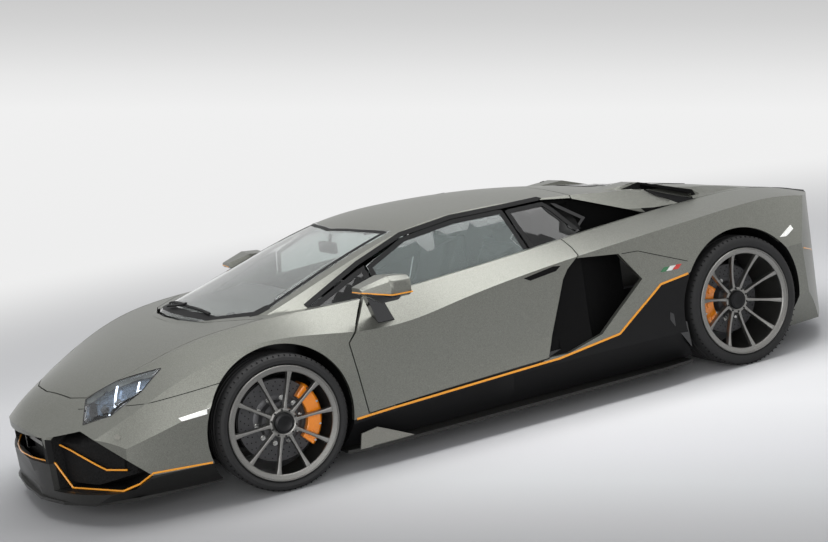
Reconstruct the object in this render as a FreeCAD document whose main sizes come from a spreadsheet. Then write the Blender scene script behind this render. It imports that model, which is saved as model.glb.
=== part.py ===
import FreeCAD, Part
import math
import os
import Sketcher
from FreeCAD import Placement, Rotation, Vector

# A two-seat mid-engined supercar, in millimetres. X points forward, Y to the car's left and Z up.
# The origin is on the ground, half way along the car and half way across it.

document = FreeCAD.newDocument("Supercar")

# Driving dimensions
SIZES = {
    "wheelbase": 2700,
    "front_overhang": 1088,
    "rear_overhang": 1080,
    "body_width": 2030,
    "body_height": 1136,
    "ground_clearance": 115,
    "front_tyre_diameter": 661,
    "front_tyre_width": 255,
    "front_rim_diameter": 556,
    "front_wheel_tuck": 25,
    "front_hub_recess": 5,
    "rear_tyre_diameter": 711,
    "rear_tyre_width": 355,
    "rear_rim_diameter": 582,
    "rear_wheel_tuck": 15,
    "rear_hub_recess": 60,
    "tyre_shoulder_radius": 24,
    "rim_wall": 9,
    "rim_lip_width": 24,
    "rim_lip_depth": 20,
    "spoke_width": 20,
    "spoke_depth": 30,
    "wheel_hub_diameter": 150,
    "wheel_hub_thickness": 42,
    "centre_nut_diameter": 102,
    "centre_nut_height": 16,
    "front_disc_diameter": 400,
    "rear_disc_diameter": 380,
    "disc_thickness": 34,
    "disc_hat_diameter": 190,
    "caliper_angle": 56,
    "caliper_width": 130,
    "caliper_radial_depth": 78,
    "arch_clearance": 45,
    "panel_thickness": 28,
    "door_thickness": 110,
    "door_flange": 40,
    "glass_thickness": 6,
    "shut_gap": 6,
    "fit_gap": 0.3,
    "grille_depth": 75,
    "splitter_thickness": 16,
    "liner_thickness": 8,
    "steering_clearance": 12,
    "seat_width": 500,
    "steering_wheel_diameter": 350,
    "exhaust_diameter": 95,
    "jacking_pad_diameter": 60,
    "disc_offset": 45,
    "stub_diameter": 60,
    "kingpin_offset": 50,
    "rear_post_offset": 70,
    "upright_height": 240,
    "bracket_thickness": 20,
    "arm_spread": 300,
    "arm_width": 26,
    "engine_length": 640,
    "engine_width": 620,
    "engine_height": 420,
    "upper_duct_depth": 60,
}

sheet = document.addObject("Spreadsheet::Sheet", "Sizes")
for row, (alias, number) in enumerate(SIZES.items(), start=1):
    sheet.set("A%d" % row, alias)
    sheet.set("B%d" % row, str(number))
    sheet.setAlias("B%d" % row, alias)
document.recompute()


class Size:
    """A length of the sheet, or one worked out from several, with the formula that binds it."""

    def __init__(self, value, text):
        self.value = value
        self.text = text

    def _join(self, other, sign, value):
        text = other.text if isinstance(other, Size) else repr(float(other))
        return Size(value, "(%s %s %s)" % (self.text, sign, text))

    def __add__(self, other):
        return self._join(other, "+", self.value + number_of(other))

    def __sub__(self, other):
        return self._join(other, "-", self.value - number_of(other))

    def __mul__(self, other):
        return self._join(other, "*", self.value * number_of(other))

    def __truediv__(self, other):
        return self._join(other, "/", self.value / number_of(other))


def number_of(length):
    return length.value if isinstance(length, Size) else float(length)


class Sheet:
    """Gives each size of the sheet by its name."""

    def __getattr__(self, alias):
        return Size(float(getattr(sheet, alias)), "Sizes." + alias)


S = Sheet()
parts = []


def value(alias):
    return float(getattr(sheet, alias))


def bind(thing, **sizes):
    for name, size in sizes.items():
        if isinstance(size, Size):
            thing.setExpression(name, size.text)
        else:
            setattr(thing, name, size)


def place(thing, x, y, z, rotation=Rotation()):
    """Puts an object at a point whose coordinates are numbers or sizes."""
    thing.Placement = Placement(Vector(number_of(x), number_of(y), number_of(z)), rotation)
    for axis, length in (("x", x), ("y", y), ("z", z)):
        if isinstance(length, Size):
            thing.setExpression("Placement.Base." + axis, length.text)


def finish(thing, name):
    thing.Label = name
    parts.append(thing)
    return thing


def feature(name, shape):
    """Keeps a shape as a sub-part of its own."""
    solids = shape.Solids
    if len(solids) == 1:
        shape = solids[0]
    else:
        shape = Part.makeCompound(solids)
    thing = document.addObject("Part::Feature", name)
    thing.Shape = shape
    thing.Placement = Placement()
    return finish(thing, name)


# The drawing grid. Body lines are drawn in millimetres on the grid of the car as designed, with x
# from the rear axle, and the grid stretches with the sizes above.
GRID_WHEELBASE = 2700
GRID_FRONT = 1088
GRID_REAR = 1080
GRID_HALF_WIDTH = 1015
GRID_HEIGHT = 1136
GRID_CLEARANCE = 115

wheelbase = value("wheelbase")
front_overhang = value("front_overhang")
rear_overhang = value("rear_overhang")
half_width = value("body_width") / 2
height = value("body_height")
clearance = value("ground_clearance")
rear_axle = rear_overhang - (rear_overhang + wheelbase + front_overhang) / 2
front_axle = rear_axle + wheelbase
AXLE_REAR = (S.rear_overhang - S.wheelbase - S.front_overhang) / 2
AXLE_FRONT = AXLE_REAR + S.wheelbase


def gx(x):
    if x < 0:
        return rear_axle + x / GRID_REAR * rear_overhang
    if x > GRID_WHEELBASE:
        return front_axle + (x - GRID_WHEELBASE) / GRID_FRONT * front_overhang
    return rear_axle + x / GRID_WHEELBASE * wheelbase


def gy(y):
    return y / GRID_HALF_WIDTH * half_width


def gz(z):
    if z < GRID_CLEARANCE:
        return z / GRID_CLEARANCE * clearance
    return clearance + (z - GRID_CLEARANCE) / (GRID_HEIGHT - GRID_CLEARANCE) * (height - clearance)


def side_prism(outline, y_from, y_to, grow=0.0):
    """A prism across the car whose outline is drawn in side view, as x and z on the grid."""
    points = [Vector(gx(x), gy(y_from), gz(z)) for x, z in outline]
    wire = Part.makePolygon(points + points[:1])
    if grow:
        wire = wire.makeOffset2D(grow, 2)
    return Part.Face(wire).extrude(Vector(0, gy(y_to) - gy(y_from), 0))


def plan_prism(outline, z_from, z_to, grow=0.0):
    """A prism up the car whose outline is drawn in plan, as x and y on the grid."""
    points = [Vector(gx(x), gy(y), gz(z_from)) for x, y in outline]
    wire = Part.makePolygon(points + points[:1])
    if grow:
        wire = wire.makeOffset2D(grow, 2)
    return Part.Face(wire).extrude(Vector(0, 0, gz(z_to) - gz(z_from)))


def grid_box(x_from, x_to, y_from, y_to, z_from, z_to):
    """A box between two corners on the grid."""
    corner = Vector(gx(x_from), gy(y_from), gz(z_from))
    size = Vector(gx(x_to), gy(y_to), gz(z_to)) - corner
    return Part.makeBox(size.x, size.y, size.z, corner)


def mirrored(shape):
    return shape.mirror(Vector(), Vector(0, 1, 0))


def both_sides(shape):
    return Part.makeCompound([shape, mirrored(shape)])


# Character lines of the lower body, from tail to nose, as x, half-width and height on the grid.
FLOOR_EDGE = [(-1080, 760), (-400, 850), (100, 900), (1100, 890), (2100, 880), (2700, 870),
              (3200, 840), (3500, 760), (3810, 640)]
ROCKER = [(-1080, 800, 340), (-400, 960, 300), (100, 1000, 280), (1100, 950, 270),
          (2100, 930, 240), (2700, 950, 220), (3200, 930, 220), (3500, 870, 205),
          (3810, 780, 190)]
WAIST = [(-1080, 800, 560), (-400, 975, 590), (100, 1010, 570), (600, 980, 500),
         (1100, 930, 420), (1600, 915, 400), (2100, 925, 430), (2700, 985, 550),
         (3200, 960, 450), (3500, 870, 360), (3810, 700, 290)]
SHOULDER = [(-1080, 740, 720), (-700, 860, 800), (-400, 905, 860), (100, 950, 860),
            (600, 955, 825), (1100, 940, 780), (1600, 925, 717), (2100, 925, 660),
            (2700, 935, 725), (3000, 915, 680), (3200, 890, 605), (3500, 800, 455),
            (3810, 540, 300)]
BELT = [(-1080, 480, 765), (-700, 560, 845), (-400, 620, 898), (100, 660, 905),
        (600, 720, 890), (1100, 780, 860), (1600, 790, 825), (2100, 790, 800),
        (2700, 740, 795), (3000, 690, 755), (3200, 630, 692), (3500, 450, 568),
        (3810, 200, 395)]
SPINE = [(-1080, 775), (-700, 852), (-400, 905), (100, 918), (1100, 875), (2100, 815),
         (2700, 812), (3000, 785), (3200, 735), (3500, 630), (3650, 545), (3810, 415)]

# Character lines of the cabin and the rear deck.
CABIN_BELT = [(-900, 520, 760), (0, 640, 880), (600, 725, 860), (1100, 770, 840),
              (1600, 780, 810), (2100, 775, 780), (2600, 730, 760), (2950, 620, 740)]
RAIL = [(-900, 480, 800), (-500, 500, 885), (0, 520, 975), (300, 540, 1015), (600, 555, 1050),
        (1200, 575, 1098), (1500, 585, 1098), (1800, 600, 1062), (2100, 630, 975),
        (2400, 655, 870), (2600, 655, 800), (2950, 560, 755)]
RIDGE = [(-900, 812), (-500, 895), (0, 985), (300, 1032), (700, 1095), (1000, 1126),
         (1300, 1136), (1500, 1130), (1800, 1106), (2100, 1040), (2400, 955), (2600, 900),
         (2950, 795)]

LOWER_STATIONS = [-1080, -700, -300, 100, 500, 900, 1300, 1700, 2100, 2400, 2700, 2950, 3200,
                  3500, 3810]
CABIN_STATIONS = [-900, -400, 100, 500, 900, 1300, 1600, 1800, 2000, 2200, 2400, 2600, 2950]


def line(points):
    """A smooth line along the car, as a curve whose parameter is x on the grid."""
    curve = Part.BSplineCurve()
    corners = [Vector(*point) if len(point) == 3 else Vector(point[0], 0, point[1])
               for point in points]
    curve.interpolate(Points=corners, Parameters=[float(point[0]) for point in points])
    return curve


def closed_section(x, left, top):
    """A closed section across the car from its left-hand points and the top point of its crown."""
    left = [Vector(gx(x), gy(y), gz(z)) for y, z in left]
    crown = Vector(gx(x), 0, gz(top))
    right = [Vector(point.x, -point.y, point.z) for point in reversed(left)]
    edges = [Part.makeLine(a, b) for a, b in zip(left, left[1:])]
    crest = Part.BezierCurve()
    crest.setPoles([left[-1], crown * 2 - (left[-1] + right[0]) * 0.5, right[0]])
    edges.append(crest.toShape())
    edges += [Part.makeLine(a, b) for a, b in zip(right, right[1:])]
    edges.append(Part.makeLine(right[-1], left[0]))
    return Part.Wire(edges)


def plan_outline(inset):
    """The car seen from above: a curved nose and tail between straight sides, as a prism."""
    nose = [(3220, 1050), (3400, 930), (3530, 800), (3640, 640), (3722, 420), (3776, 160), (3788, 0)]
    tail = [(-300, 1050), (-560, 880), (-780, 640), (-960, 380), (-1055, 160), (-1080, 0)]
    front = [Vector(gx(x) - inset, gy(y), 0) for x, y in nose]
    front += [Vector(point.x, -point.y, 0) for point in reversed(front[:-1])]
    back = [Vector(gx(x) + inset, -gy(y), 0) for x, y in tail]
    back += [Vector(point.x, -point.y, 0) for point in reversed(back[:-1])]
    front_curve = Part.BSplineCurve()
    front_curve.interpolate(front)
    back_curve = Part.BSplineCurve()
    back_curve.interpolate(back)
    wire = Part.Wire([front_curve.toShape(), Part.makeLine(front[-1], back[0]),
                      back_curve.toShape(), Part.makeLine(back[-1], front[0])])
    return Part.Face(wire).extrude(Vector(0, 0, 2 * height))


def side_outline(inset):
    """The car seen from the side: the slope of its nose and tail, as a prism."""
    outline = [(3740, -60), (3760, 200), (3788, 400), (3830, 500), (3830, 1400), (-1090, 1400),
               (-1090, 700), (-1010, 600), (-1080, 480), (-1060, 330),
               (-960, 180), (-930, -60)]
    points = []
    for x, z in outline:
        shift = -inset if x > 0 else inset
        points.append(Vector(gx(x) + shift, -2 * half_width, gz(z)))
    wire = Part.makePolygon(points + points[:1])
    return Part.Face(wire).extrude(Vector(0, 4 * half_width, 0))


def lower_body(inset=0.0):
    """The closed lower body, or the same body drawn in by a wall's thickness."""
    sections = []
    inset_y = inset / half_width * GRID_HALF_WIDTH
    inset_z = inset / height * GRID_HEIGHT
    floor_edge, rocker, waist = line(FLOOR_EDGE), line(ROCKER), line(WAIST)
    shoulder, belt, spine = line(SHOULDER), line(BELT), line(SPINE)
    for x in LOWER_STATIONS:
        left = [(floor_edge.value(x).z - inset_y, GRID_CLEARANCE + inset_z)]
        for curve, rise in ((rocker, 0.3), (waist, 0.0), (shoulder, -0.6), (belt, -1.0)):
            point = curve.value(x)
            left.append((point.y - inset_y, point.z + rise * inset_z))
        sections.append(closed_section(x, left, spine.value(x).z - inset_z))
    body = Part.makeLoft(sections, True, False)
    return body.common(plan_outline(inset)).common(side_outline(inset))


def cabin_body(inset=0.0):
    """The closed cabin and rear deck above the lower body, or the same drawn in."""
    sections = []
    inset_y = inset / half_width * GRID_HALF_WIDTH
    inset_z = inset / height * GRID_HEIGHT
    belt, rail, ridge = line(CABIN_BELT), line(RAIL), line(RIDGE)
    for x in CABIN_STATIONS:
        foot = belt.value(x)
        head = rail.value(x)
        left = [(foot.y - inset_y, foot.z - 200), (foot.y - inset_y, foot.z),
                (head.y - 0.8 * inset_y, head.z - 0.6 * inset_z)]
        sections.append(closed_section(x, left, ridge.value(x).z - inset_z))
    body = Part.makeLoft(sections, True, False)
    return body.common(plan_outline(inset)).common(side_outline(inset))


def whole_body(inset=0.0):
    return lower_body(inset).fuse(cabin_body(inset))


panel = value("panel_thickness")
gap = value("shut_gap")
fit = value("fit_gap")
glass = value("glass_thickness")

# Wheels and the room they need
front_radius = value("front_tyre_diameter") / 2
rear_radius = value("rear_tyre_diameter") / 2
front_arch = front_radius + value("arch_clearance")
rear_arch = rear_radius + value("arch_clearance")
front_wheel_y = half_width - value("front_wheel_tuck") - value("front_tyre_width") / 2
rear_wheel_y = half_width - value("rear_wheel_tuck") - value("rear_tyre_width") / 2
STEERING_LOCK = 32.0
lock = math.radians(STEERING_LOCK)
front_sweep = front_radius * math.sin(lock) + value("front_tyre_width") / 2 * math.cos(lock)
front_well = front_wheel_y - front_sweep - 14
rear_well = rear_wheel_y - value("rear_tyre_width") / 2 - 25


def arch_cylinder(x, radius, arch, y_from):
    """The room of one left-hand wheel: a cylinder across the car, open below."""
    length = 2 * half_width - y_from
    return Part.makeCylinder(arch, length, Vector(x, y_from, radius), Vector(0, 1, 0))


front_room = arch_cylinder(front_axle, front_radius, front_arch, front_well)
rear_room = arch_cylinder(rear_axle, rear_radius, rear_arch, rear_well)
liner = value("liner_thickness")
steer_room = value("steering_clearance")
behind = steer_room + liner + fit
front_room_behind = arch_cylinder(front_axle, front_radius, front_arch + behind, front_well - fit)
rear_room_behind = arch_cylinder(rear_axle, rear_radius, rear_arch + behind, rear_well - fit)
wheel_rooms = both_sides(front_room.fuse(rear_room))
wheel_rooms_behind = both_sides(front_room_behind.fuse(rear_room_behind))

lower = lower_body()
cabin = cabin_body()
lower_inner = lower_body(panel + fit)
lower_grown = lower_body(-fit)
cabin_grown = cabin_body(-fit)
cabin_inner = cabin_body(panel + fit)
outer_body = lower.fuse(cabin)
inner_body = whole_body(panel)
skin = outer_body.cut(inner_body).cut(wheel_rooms)
LEFT = grid_box(-1200, 3900, 0, 1200, -100, 1400)
left_skin = skin.common(LEFT)

# Outlines of the panels. Plan outlines are x and y on the grid, side outlines x and z.
HOOD = [(3612, 0), (3608, 100), (3545, 350), (3490, 460), (3340, 548), (3190, 612), (2780, 712),
        (2640, 712), (2700, 640), (2850, 430), (2915, 200), (2930, 0)]
SCREEN = [(2912, 0), (2895, 200), (2830, 425), (2690, 600), (2570, 622), (1812, 540), (1880, 300),
          (1930, 0)]
HEADLAMP = [(3562, 610), (3500, 466), (3430, 500), (3360, 540), (3170, 722), (3300, 768),
            (3450, 735)]
ENGINE_LID = [(745, 0), (745, 640), (270, 640), (-340, 590), (-620, 500), (-660, 0)]
DOOR = [(2110, 860), (2125, 800), (2177, 741), (2292, 623), (2246, 265), (1222, 306),
        (1192, 376), (1074, 691), (1042, 738), (966, 800), (955, 830), (955, 900), (1160, 905)]
# The fender stands further off the door's upper corner, which passes it as the door lifts.
EASED_DOOR = [(2117, 862), (2132, 806), (2184, 747)] + DOOR[3:]
CABIN_SIDE = [(2660, 775), (2430, 790), (2070, 950), (1800, 1042), (1500, 1076), (1187, 1074),
              (935, 1074), (745, 1050), (745, 1300), (2660, 1300)]
BUTTRESS_EDGE = [(745, 1046), (272, 872), (-700, 600), (-1100, 600), (-1100, 1300), (745, 1300)]
DOOR_GLASS = [(2008, 740), (2034, 938), (1800, 1030), (1500, 1064), (1190, 1062), (1140, 780)]
FRONT_QUARTER_GLASS = [(2440, 770), (2042, 942), (2016, 745), (2300, 740)]
REAR_QUARTER_GLASS = [(1180, 1062), (935, 1062), (897, 1025), (806, 888), (1000, 840),
                      (1132, 800)]
BUMPER_SEAM = [(3900, 500), (3560, 526), (3300, 556), (2930, 592), (2700, 592), (2700, -100),
               (3900, -100)]
SIDE_INTAKE = [(1250, 830), (984, 803), (733, 759), (617, 603), (895, 363), (1099, 306),
               (1250, 306)]
BLACK_SIDE = [(2420, 100), (2420, 246), (2327, 249), (1161, 289), (797, 342), (517, 552),
              (346, 577), (200, 640), (200, 100)]
FENDER_SEAM = [(1160, 803), (733, 759), (617, 752), (280, 622), (-300, 622), (-520, 604),
               (-1200, 604), (-1200, 1400), (1160, 1400)]
NOSE_INTAKE = [(3583, 452), (3345, 228), (3420, 168), (3900, 150), (3900, 400), (3700, 420)]
CENTRE_INTAKE = [(3400, 288), (3400, 425), (3700, 418), (3900, 400), (3900, 288)]
CENTRE_HALF = 400
STRUT_OUTER = 430
FRONT_LIP = [(3900, 60), (3900, 150), (3420, 168), (3345, 228), (3062, 221), (2700, 215), (2700, 60)]
SCOOP_SIDE = [(560, 1040), (262, 1051), (-40, 957), (-130, 900), (-130, 850), (560, 850)]
SCOOP_PLAN = [(560, 330), (560, 440), (262, 500), (-30, 580), (-130, 560), (-130, 330)]
SCOOP_MOUTH = [(250, 1036), (255, 1003), (55, 880), (-25, 880), (-28, 938)]
SCOOP_INNER = 470
SCOOP_FLOOR = 14


def mirror_outline(half):
    return half + [(x, -y) for x, y in reversed(half) if y]


hood_region = plan_prism(mirror_outline(HOOD), 300, 1300)
hood_room = plan_prism(mirror_outline(HOOD), 290, 1300, gap)
screen_region = plan_prism(mirror_outline(SCREEN), 600, 1300)
lamp_region = plan_prism(HEADLAMP, 300, 900)
lid_region = plan_prism(mirror_outline(ENGINE_LID), 600, 1300)
lid_room = plan_prism(mirror_outline(ENGINE_LID), 590, 1300, gap)
door_region = side_prism(DOOR, 700, 1200)
door_room = side_prism(DOOR, 650, 1200, gap)
buttress_region = side_prism(BUTTRESS_EDGE, -1200, 1200)
cabin_top_region = side_prism(CABIN_SIDE, -1200, 1200)

# The tub: floor, sills, bulkheads and the cowl that carries the screen, with the door openings
tub_outside = lower_inner.common(grid_box(940, 2900, -1100, 1100, 0, 1200))
cabin_hollow = grid_box(1040, 2440, -700, 700, 155, 1300)
footwell = grid_box(2430, 2790, -500, 500, 155, 640)
sill_opening = grid_box(1130, 2330, -1200, 1200, 330, 1300)
tub = tub_outside.cut(cabin_hollow).cut(footwell).cut(sill_opening)
tub = tub.cut(wheel_rooms_behind).cut(both_sides(door_room)).cut(hood_room)
tub = tub.cut(cabin_grown.common(grid_box(900, 2440, -900, 900, 0, 1300)))
tub = tub.cut(both_sides(grid_box(2725, 2795, 600, 800, 725, 900)))
feature("tub", tub)

# Panels that open
thin_lip = inner_body.copy()
thin_lip.translate(Vector(0, 0, 20))
thin_lip = thin_lip.common(grid_box(3470, 3700, -400, 400, 0, 900))
front_lid = skin.common(hood_region).cut(thin_lip)
feature("front_lid", front_lid)
scoops = side_prism(SCOOP_SIDE, 0, 900).common(plan_prism(SCOOP_PLAN, 800, 1200)).cut(inner_body)
scoop_base = inner_body.copy()
scoop_base.translate(Vector(0, 0, SCOOP_FLOOR))
scoop_mouth = side_prism(SCOOP_MOUTH, SCOOP_INNER, 700).cut(scoop_base)
engine_lid = skin.common(lid_region).common(buttress_region)
engine_lid = engine_lid.fuse(both_sides(scoops)).cut(both_sides(scoop_mouth))
feature("engine_lid", engine_lid)

# Ledges under the lids' edges, which carry their hinges and rubber stops
front_ledge = inner_body.common(grid_box(2730, 2790, 719, 790, 690, 900))
front_ledge = front_ledge.fuse(lower_inner.common(grid_box(2730, 2790, 670, 720, 690, 900)))
front_ledge = front_ledge.cut(grid_box(2700, 2800, 600, 900, 0, 730))
engine_ledge = inner_body.common(grid_box(753, 790, 200, 300, 1000, 1200))
engine_ledge = engine_ledge.fuse(cabin_inner.common(grid_box(700, 754, 200, 300, 1000, 1200)))
engine_ledge = engine_ledge.cut(grid_box(600, 800, 100, 400, 0, 1045))

# Glass
glazing = cabin.cut(cabin_body(glass))
windscreen = glazing.common(screen_region)
feature("windscreen", windscreen.cut(lower_grown))
door_glass_left = glazing.common(side_prism(DOOR_GLASS, 300, 1200))
fixed_glass = glazing.common(side_prism(FRONT_QUARTER_GLASS, 300, 1200))
fixed_glass = fixed_glass.fuse(glazing.common(side_prism(REAR_QUARTER_GLASS, 300, 1200)))
fixed_glass = fixed_glass.cut(screen_region)
feature("side_windows", both_sides(fixed_glass))

# Roof with its windscreen pillars
roof = skin.common(cabin_top_region).cut(screen_region).cut(lid_room).cut(hood_room)
feature("roof", roof.fuse(engine_ledge).fuse(mirrored(engine_ledge)))

# Doors
DOOR_LIP_SHIFT = 13
door_core = side_prism(DOOR, 700, 1200, -value("door_flange"))
door_left = lower.common(door_region).cut(lower_inner)
door_left = door_left.fuse(lower.common(door_core).cut(lower_body(value("door_thickness"))))
door_left = door_left.cut(cabin_grown)
# The door's upper front edge is thin, so that it lifts clear of the fender as it swings
thin_edge = lower_inner.copy()
thin_edge.translate(Vector(0, DOOR_LIP_SHIFT, DOOR_LIP_SHIFT))
thin_edge = thin_edge.common(grid_box(2090, 2230, 700, 950, 690, 900)).cut(door_core)
door_left = door_left.cut(thin_edge)
for side, shape in (("left", door_left), ("right", mirrored(door_left))):
    feature("door_" + side, shape)
for side, shape in (("left", door_glass_left), ("right", mirrored(door_glass_left))):
    feature("door_glass_" + side, shape)

# Front fenders, bumper and lamps
bumper_region = side_prism(BUMPER_SEAM, -1200, 1200).fuse(grid_box(3440, 3900, -560, 560, 0, 900))
front_part = left_skin.common(grid_box(2000, 3900, 0, 1200, 0, 900)).cut(hood_room)
front_part = front_part.cut(cabin_grown).cut(side_prism(EASED_DOOR, 650, 1200, gap))
black_side = side_prism(BLACK_SIDE, 500, 1200)
fender_left = front_part.cut(bumper_region).cut(lamp_region).cut(black_side).cut(cabin_top_region)
fender_left = fender_left.common(side_prism([(3900, 300), (3900, 1200), (2100, 1200), (2100, 100),
                                             (2600, 100), (2600, 300)], 0, 1200))
fender_left = fender_left.cut(grid_box(2000, 2760, 0, 620, 0, 400))
feature("front_fenders", both_sides(fender_left.fuse(front_ledge)))
bumper = skin.common(bumper_region.common(grid_box(2760, 3900, -1200, 1200, 0, 900)))
bumper = bumper.cut(hood_room).cut(both_sides(lamp_region))
bumper = bumper.cut(both_sides(side_prism(NOSE_INTAKE, STRUT_OUTER, 1200)))
bumper = bumper.cut(side_prism(CENTRE_INTAKE, -CENTRE_HALF, CENTRE_HALF))
lip_region = side_prism(FRONT_LIP, -1200, 1200)
lip_region = lip_region.fuse(grid_box(3400, 3900, -STRUT_OUTER, STRUT_OUTER, 60, 288))
feature("front_lip", bumper.common(lip_region))
feature("front_bumper", bumper.cut(lip_region))
lens = lower.common(lamp_region).cut(lower_body(glass))
feature("headlamps", both_sides(lens))

# Rear fenders, quarters, sills and tail. A shell set back behind the skin closes its openings.
lower_lining = lower_body(value("grille_depth"))
lining = lower_lining.cut(lower_body(value("grille_depth") + liner))
tail_region = grid_box(-1200, -400, -590, 590, 604, 1200)
grille_opening = grid_box(-1200, -700, -600, 600, 345, 575)
diffuser_room = grid_box(-1200, -240, -560, 560, 0, 322)
lamp_opening = grid_box(-1200, -700, 250, 585, 622, 700)
rear_part = left_skin.common(grid_box(-1200, 1250, 0, 1200, 0, 1000)).cut(lid_room).cut(door_room)
rear_part = rear_part.cut(cabin_grown.common(grid_box(200, 1300, 0, 800, 0, 1300)))
fender_region = side_prism(FENDER_SEAM, 0, 1200)
rear_fender = rear_part.common(fender_region).cut(tail_region)
quarter = rear_part.cut(fender_region).cut(side_prism(SIDE_INTAKE, 500, 1200)).cut(black_side)
quarter = quarter.common(grid_box(200, 1250, 600, 1200, 0, 1000))
sill = left_skin.common(black_side).cut(door_room)
rear_bumper = skin.common(grid_box(-1200, -250, -1200, 1200, 0, 700)).cut(both_sides(fender_region))
rear_bumper = rear_bumper.cut(tail_region).cut(grille_opening).cut(diffuser_room)
BLADE = [(2400, 800), (2400, 960), (2250, 1000), (560, 1010), (380, 990), (380, 800)]
thickness = value("splitter_thickness")
slab = Part.makeBox(6000, 3000, thickness, Vector(-3000, -1500, clearance - thickness))
sill = sill.fuse(plan_prism(BLADE, 0, 130).common(slab))
PAD_DEPTH = 10
for x in (700, 2150):
    sill = sill.fuse(Part.makeCylinder(value("jacking_pad_diameter") / 2, PAD_DEPTH + 2,
                                       Vector(gx(x), gy(640), clearance - PAD_DEPTH)))
feature("rear_fenders", both_sides(rear_fender))
feature("quarters", both_sides(quarter))
feature("sills", both_sides(sill))
feature("rear_bumper", rear_bumper)
tail_panel = skin.common(tail_region).cut(lid_room).cut(both_sides(lamp_opening))
feature("tail_panel", tail_panel)
feature("tail_lamps", both_sides(lower.common(lamp_opening).cut(lower_body(glass))))


def origin_plane(body, role):
    for item in body.Origin.OriginFeatures:
        if item.Role == role:
            return item


def profile_sketch(body, name, role, corners):
    """A closed outline on an origin plane, its corners held by sizes of the sheet."""
    sketch = body.newObject("Sketcher::SketchObject", name)
    sketch.AttachmentSupport = [(origin_plane(body, role), "")]
    sketch.MapMode = "FlatFace"
    count = len(corners)
    for index in range(count):
        start = [number_of(length) for length in corners[index]]
        end = [number_of(length) for length in corners[(index + 1) % count]]
        sketch.addGeometry(Part.LineSegment(Vector(*start), Vector(*end)))
    for index in range(count):
        following = (index + 1) % count
        sketch.addConstraint(Sketcher.Constraint("Coincident", index, 2, following, 1))
    for index, corner in enumerate(corners):
        for kind, length, axis in (("DistanceX", corner[0], -2), ("DistanceY", corner[1], -1)):
            if not isinstance(length, Size):
                sketch.addConstraint(Sketcher.Constraint("PointOnObject", index, 1, axis))
                continue
            held = Sketcher.Constraint(kind, -1, 1, index, 1, length.value)
            number = sketch.addConstraint(held)
            sketch.renameConstraint(number, "%s%d" % (kind, index))
            sketch.setExpression("Constraints.%s%d" % (kind, index), length.text)
    return sketch


def revolve(body, name, corners):
    """A solid of revolution about the body's Z, from corners given as radius and height."""
    sketch = profile_sketch(body, name + "Outline", "XZ_Plane", corners)
    turned = body.newObject("PartDesign::Revolution", name)
    turned.Profile = sketch
    turned.ReferenceAxis = (sketch, ["V_Axis"])
    turned.Angle = 360
    return turned


# Wheels. Each is drawn about its own Z, which points out of the car, from the tyre's inner face.
SPOKES = 10
OUTWARD = {"left": Rotation(Vector(1, 0, 0), -90), "right": Rotation(Vector(1, 0, 0), 90)}


class Corner:
    """The sizes of one end of the car's wheels."""

    def __init__(self, end):
        self.radius = getattr(S, end + "_tyre_diameter") / 2
        self.width = getattr(S, end + "_tyre_width")
        self.rim = getattr(S, end + "_rim_diameter") / 2
        self.face = self.width - getattr(S, end + "_hub_recess") - S.centre_nut_height
        self.hub_back = self.face - S.wheel_hub_thickness
        self.disc_radius = getattr(S, end + "_disc_diameter") / 2
        self.disc_front = self.hub_back - S.disc_offset
        self.disc_back = self.disc_front - S.disc_thickness
        self.axle = AXLE_FRONT if end == "front" else AXLE_REAR
        self.inner_y = S.body_width / 2 - getattr(S, end + "_wheel_tuck") - self.width

    def put(self, thing, side, depth=0):
        """Places an object drawn about the wheel's axis, its base this deep in the tyre."""
        offset = self.inner_y + depth
        if side == "right":
            offset = offset * -1
        place(thing, self.axle, offset, self.radius, OUTWARD[side])


def make_tyre(end, side, corner):
    body = document.addObject("PartDesign::Body", "Tyre")
    seat = corner.rim + S.fit_gap
    revolve(body, "Carcass", [(seat, 0), (corner.radius, 0), (corner.radius, corner.width),
                              (seat, corner.width)])
    document.recompute()
    shoulders = [number for number, edge in enumerate(body.Tip.Shape.Edges, start=1)
                 if edge.Curve.TypeId == "Part::GeomCircle"
                 and abs(edge.Curve.Radius - corner.radius.value) < 0.01]
    rounded = body.newObject("PartDesign::Fillet", "Shoulders")
    rounded.Base = (body.Tip if body.Tip != rounded else body.Group[-2],
                    ["Edge%d" % number for number in shoulders])
    rounded.setExpression("Radius", S.tyre_shoulder_radius.text)
    corner.put(body, side)
    finish(body, "tyre_%s_%s" % (end, side))


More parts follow.
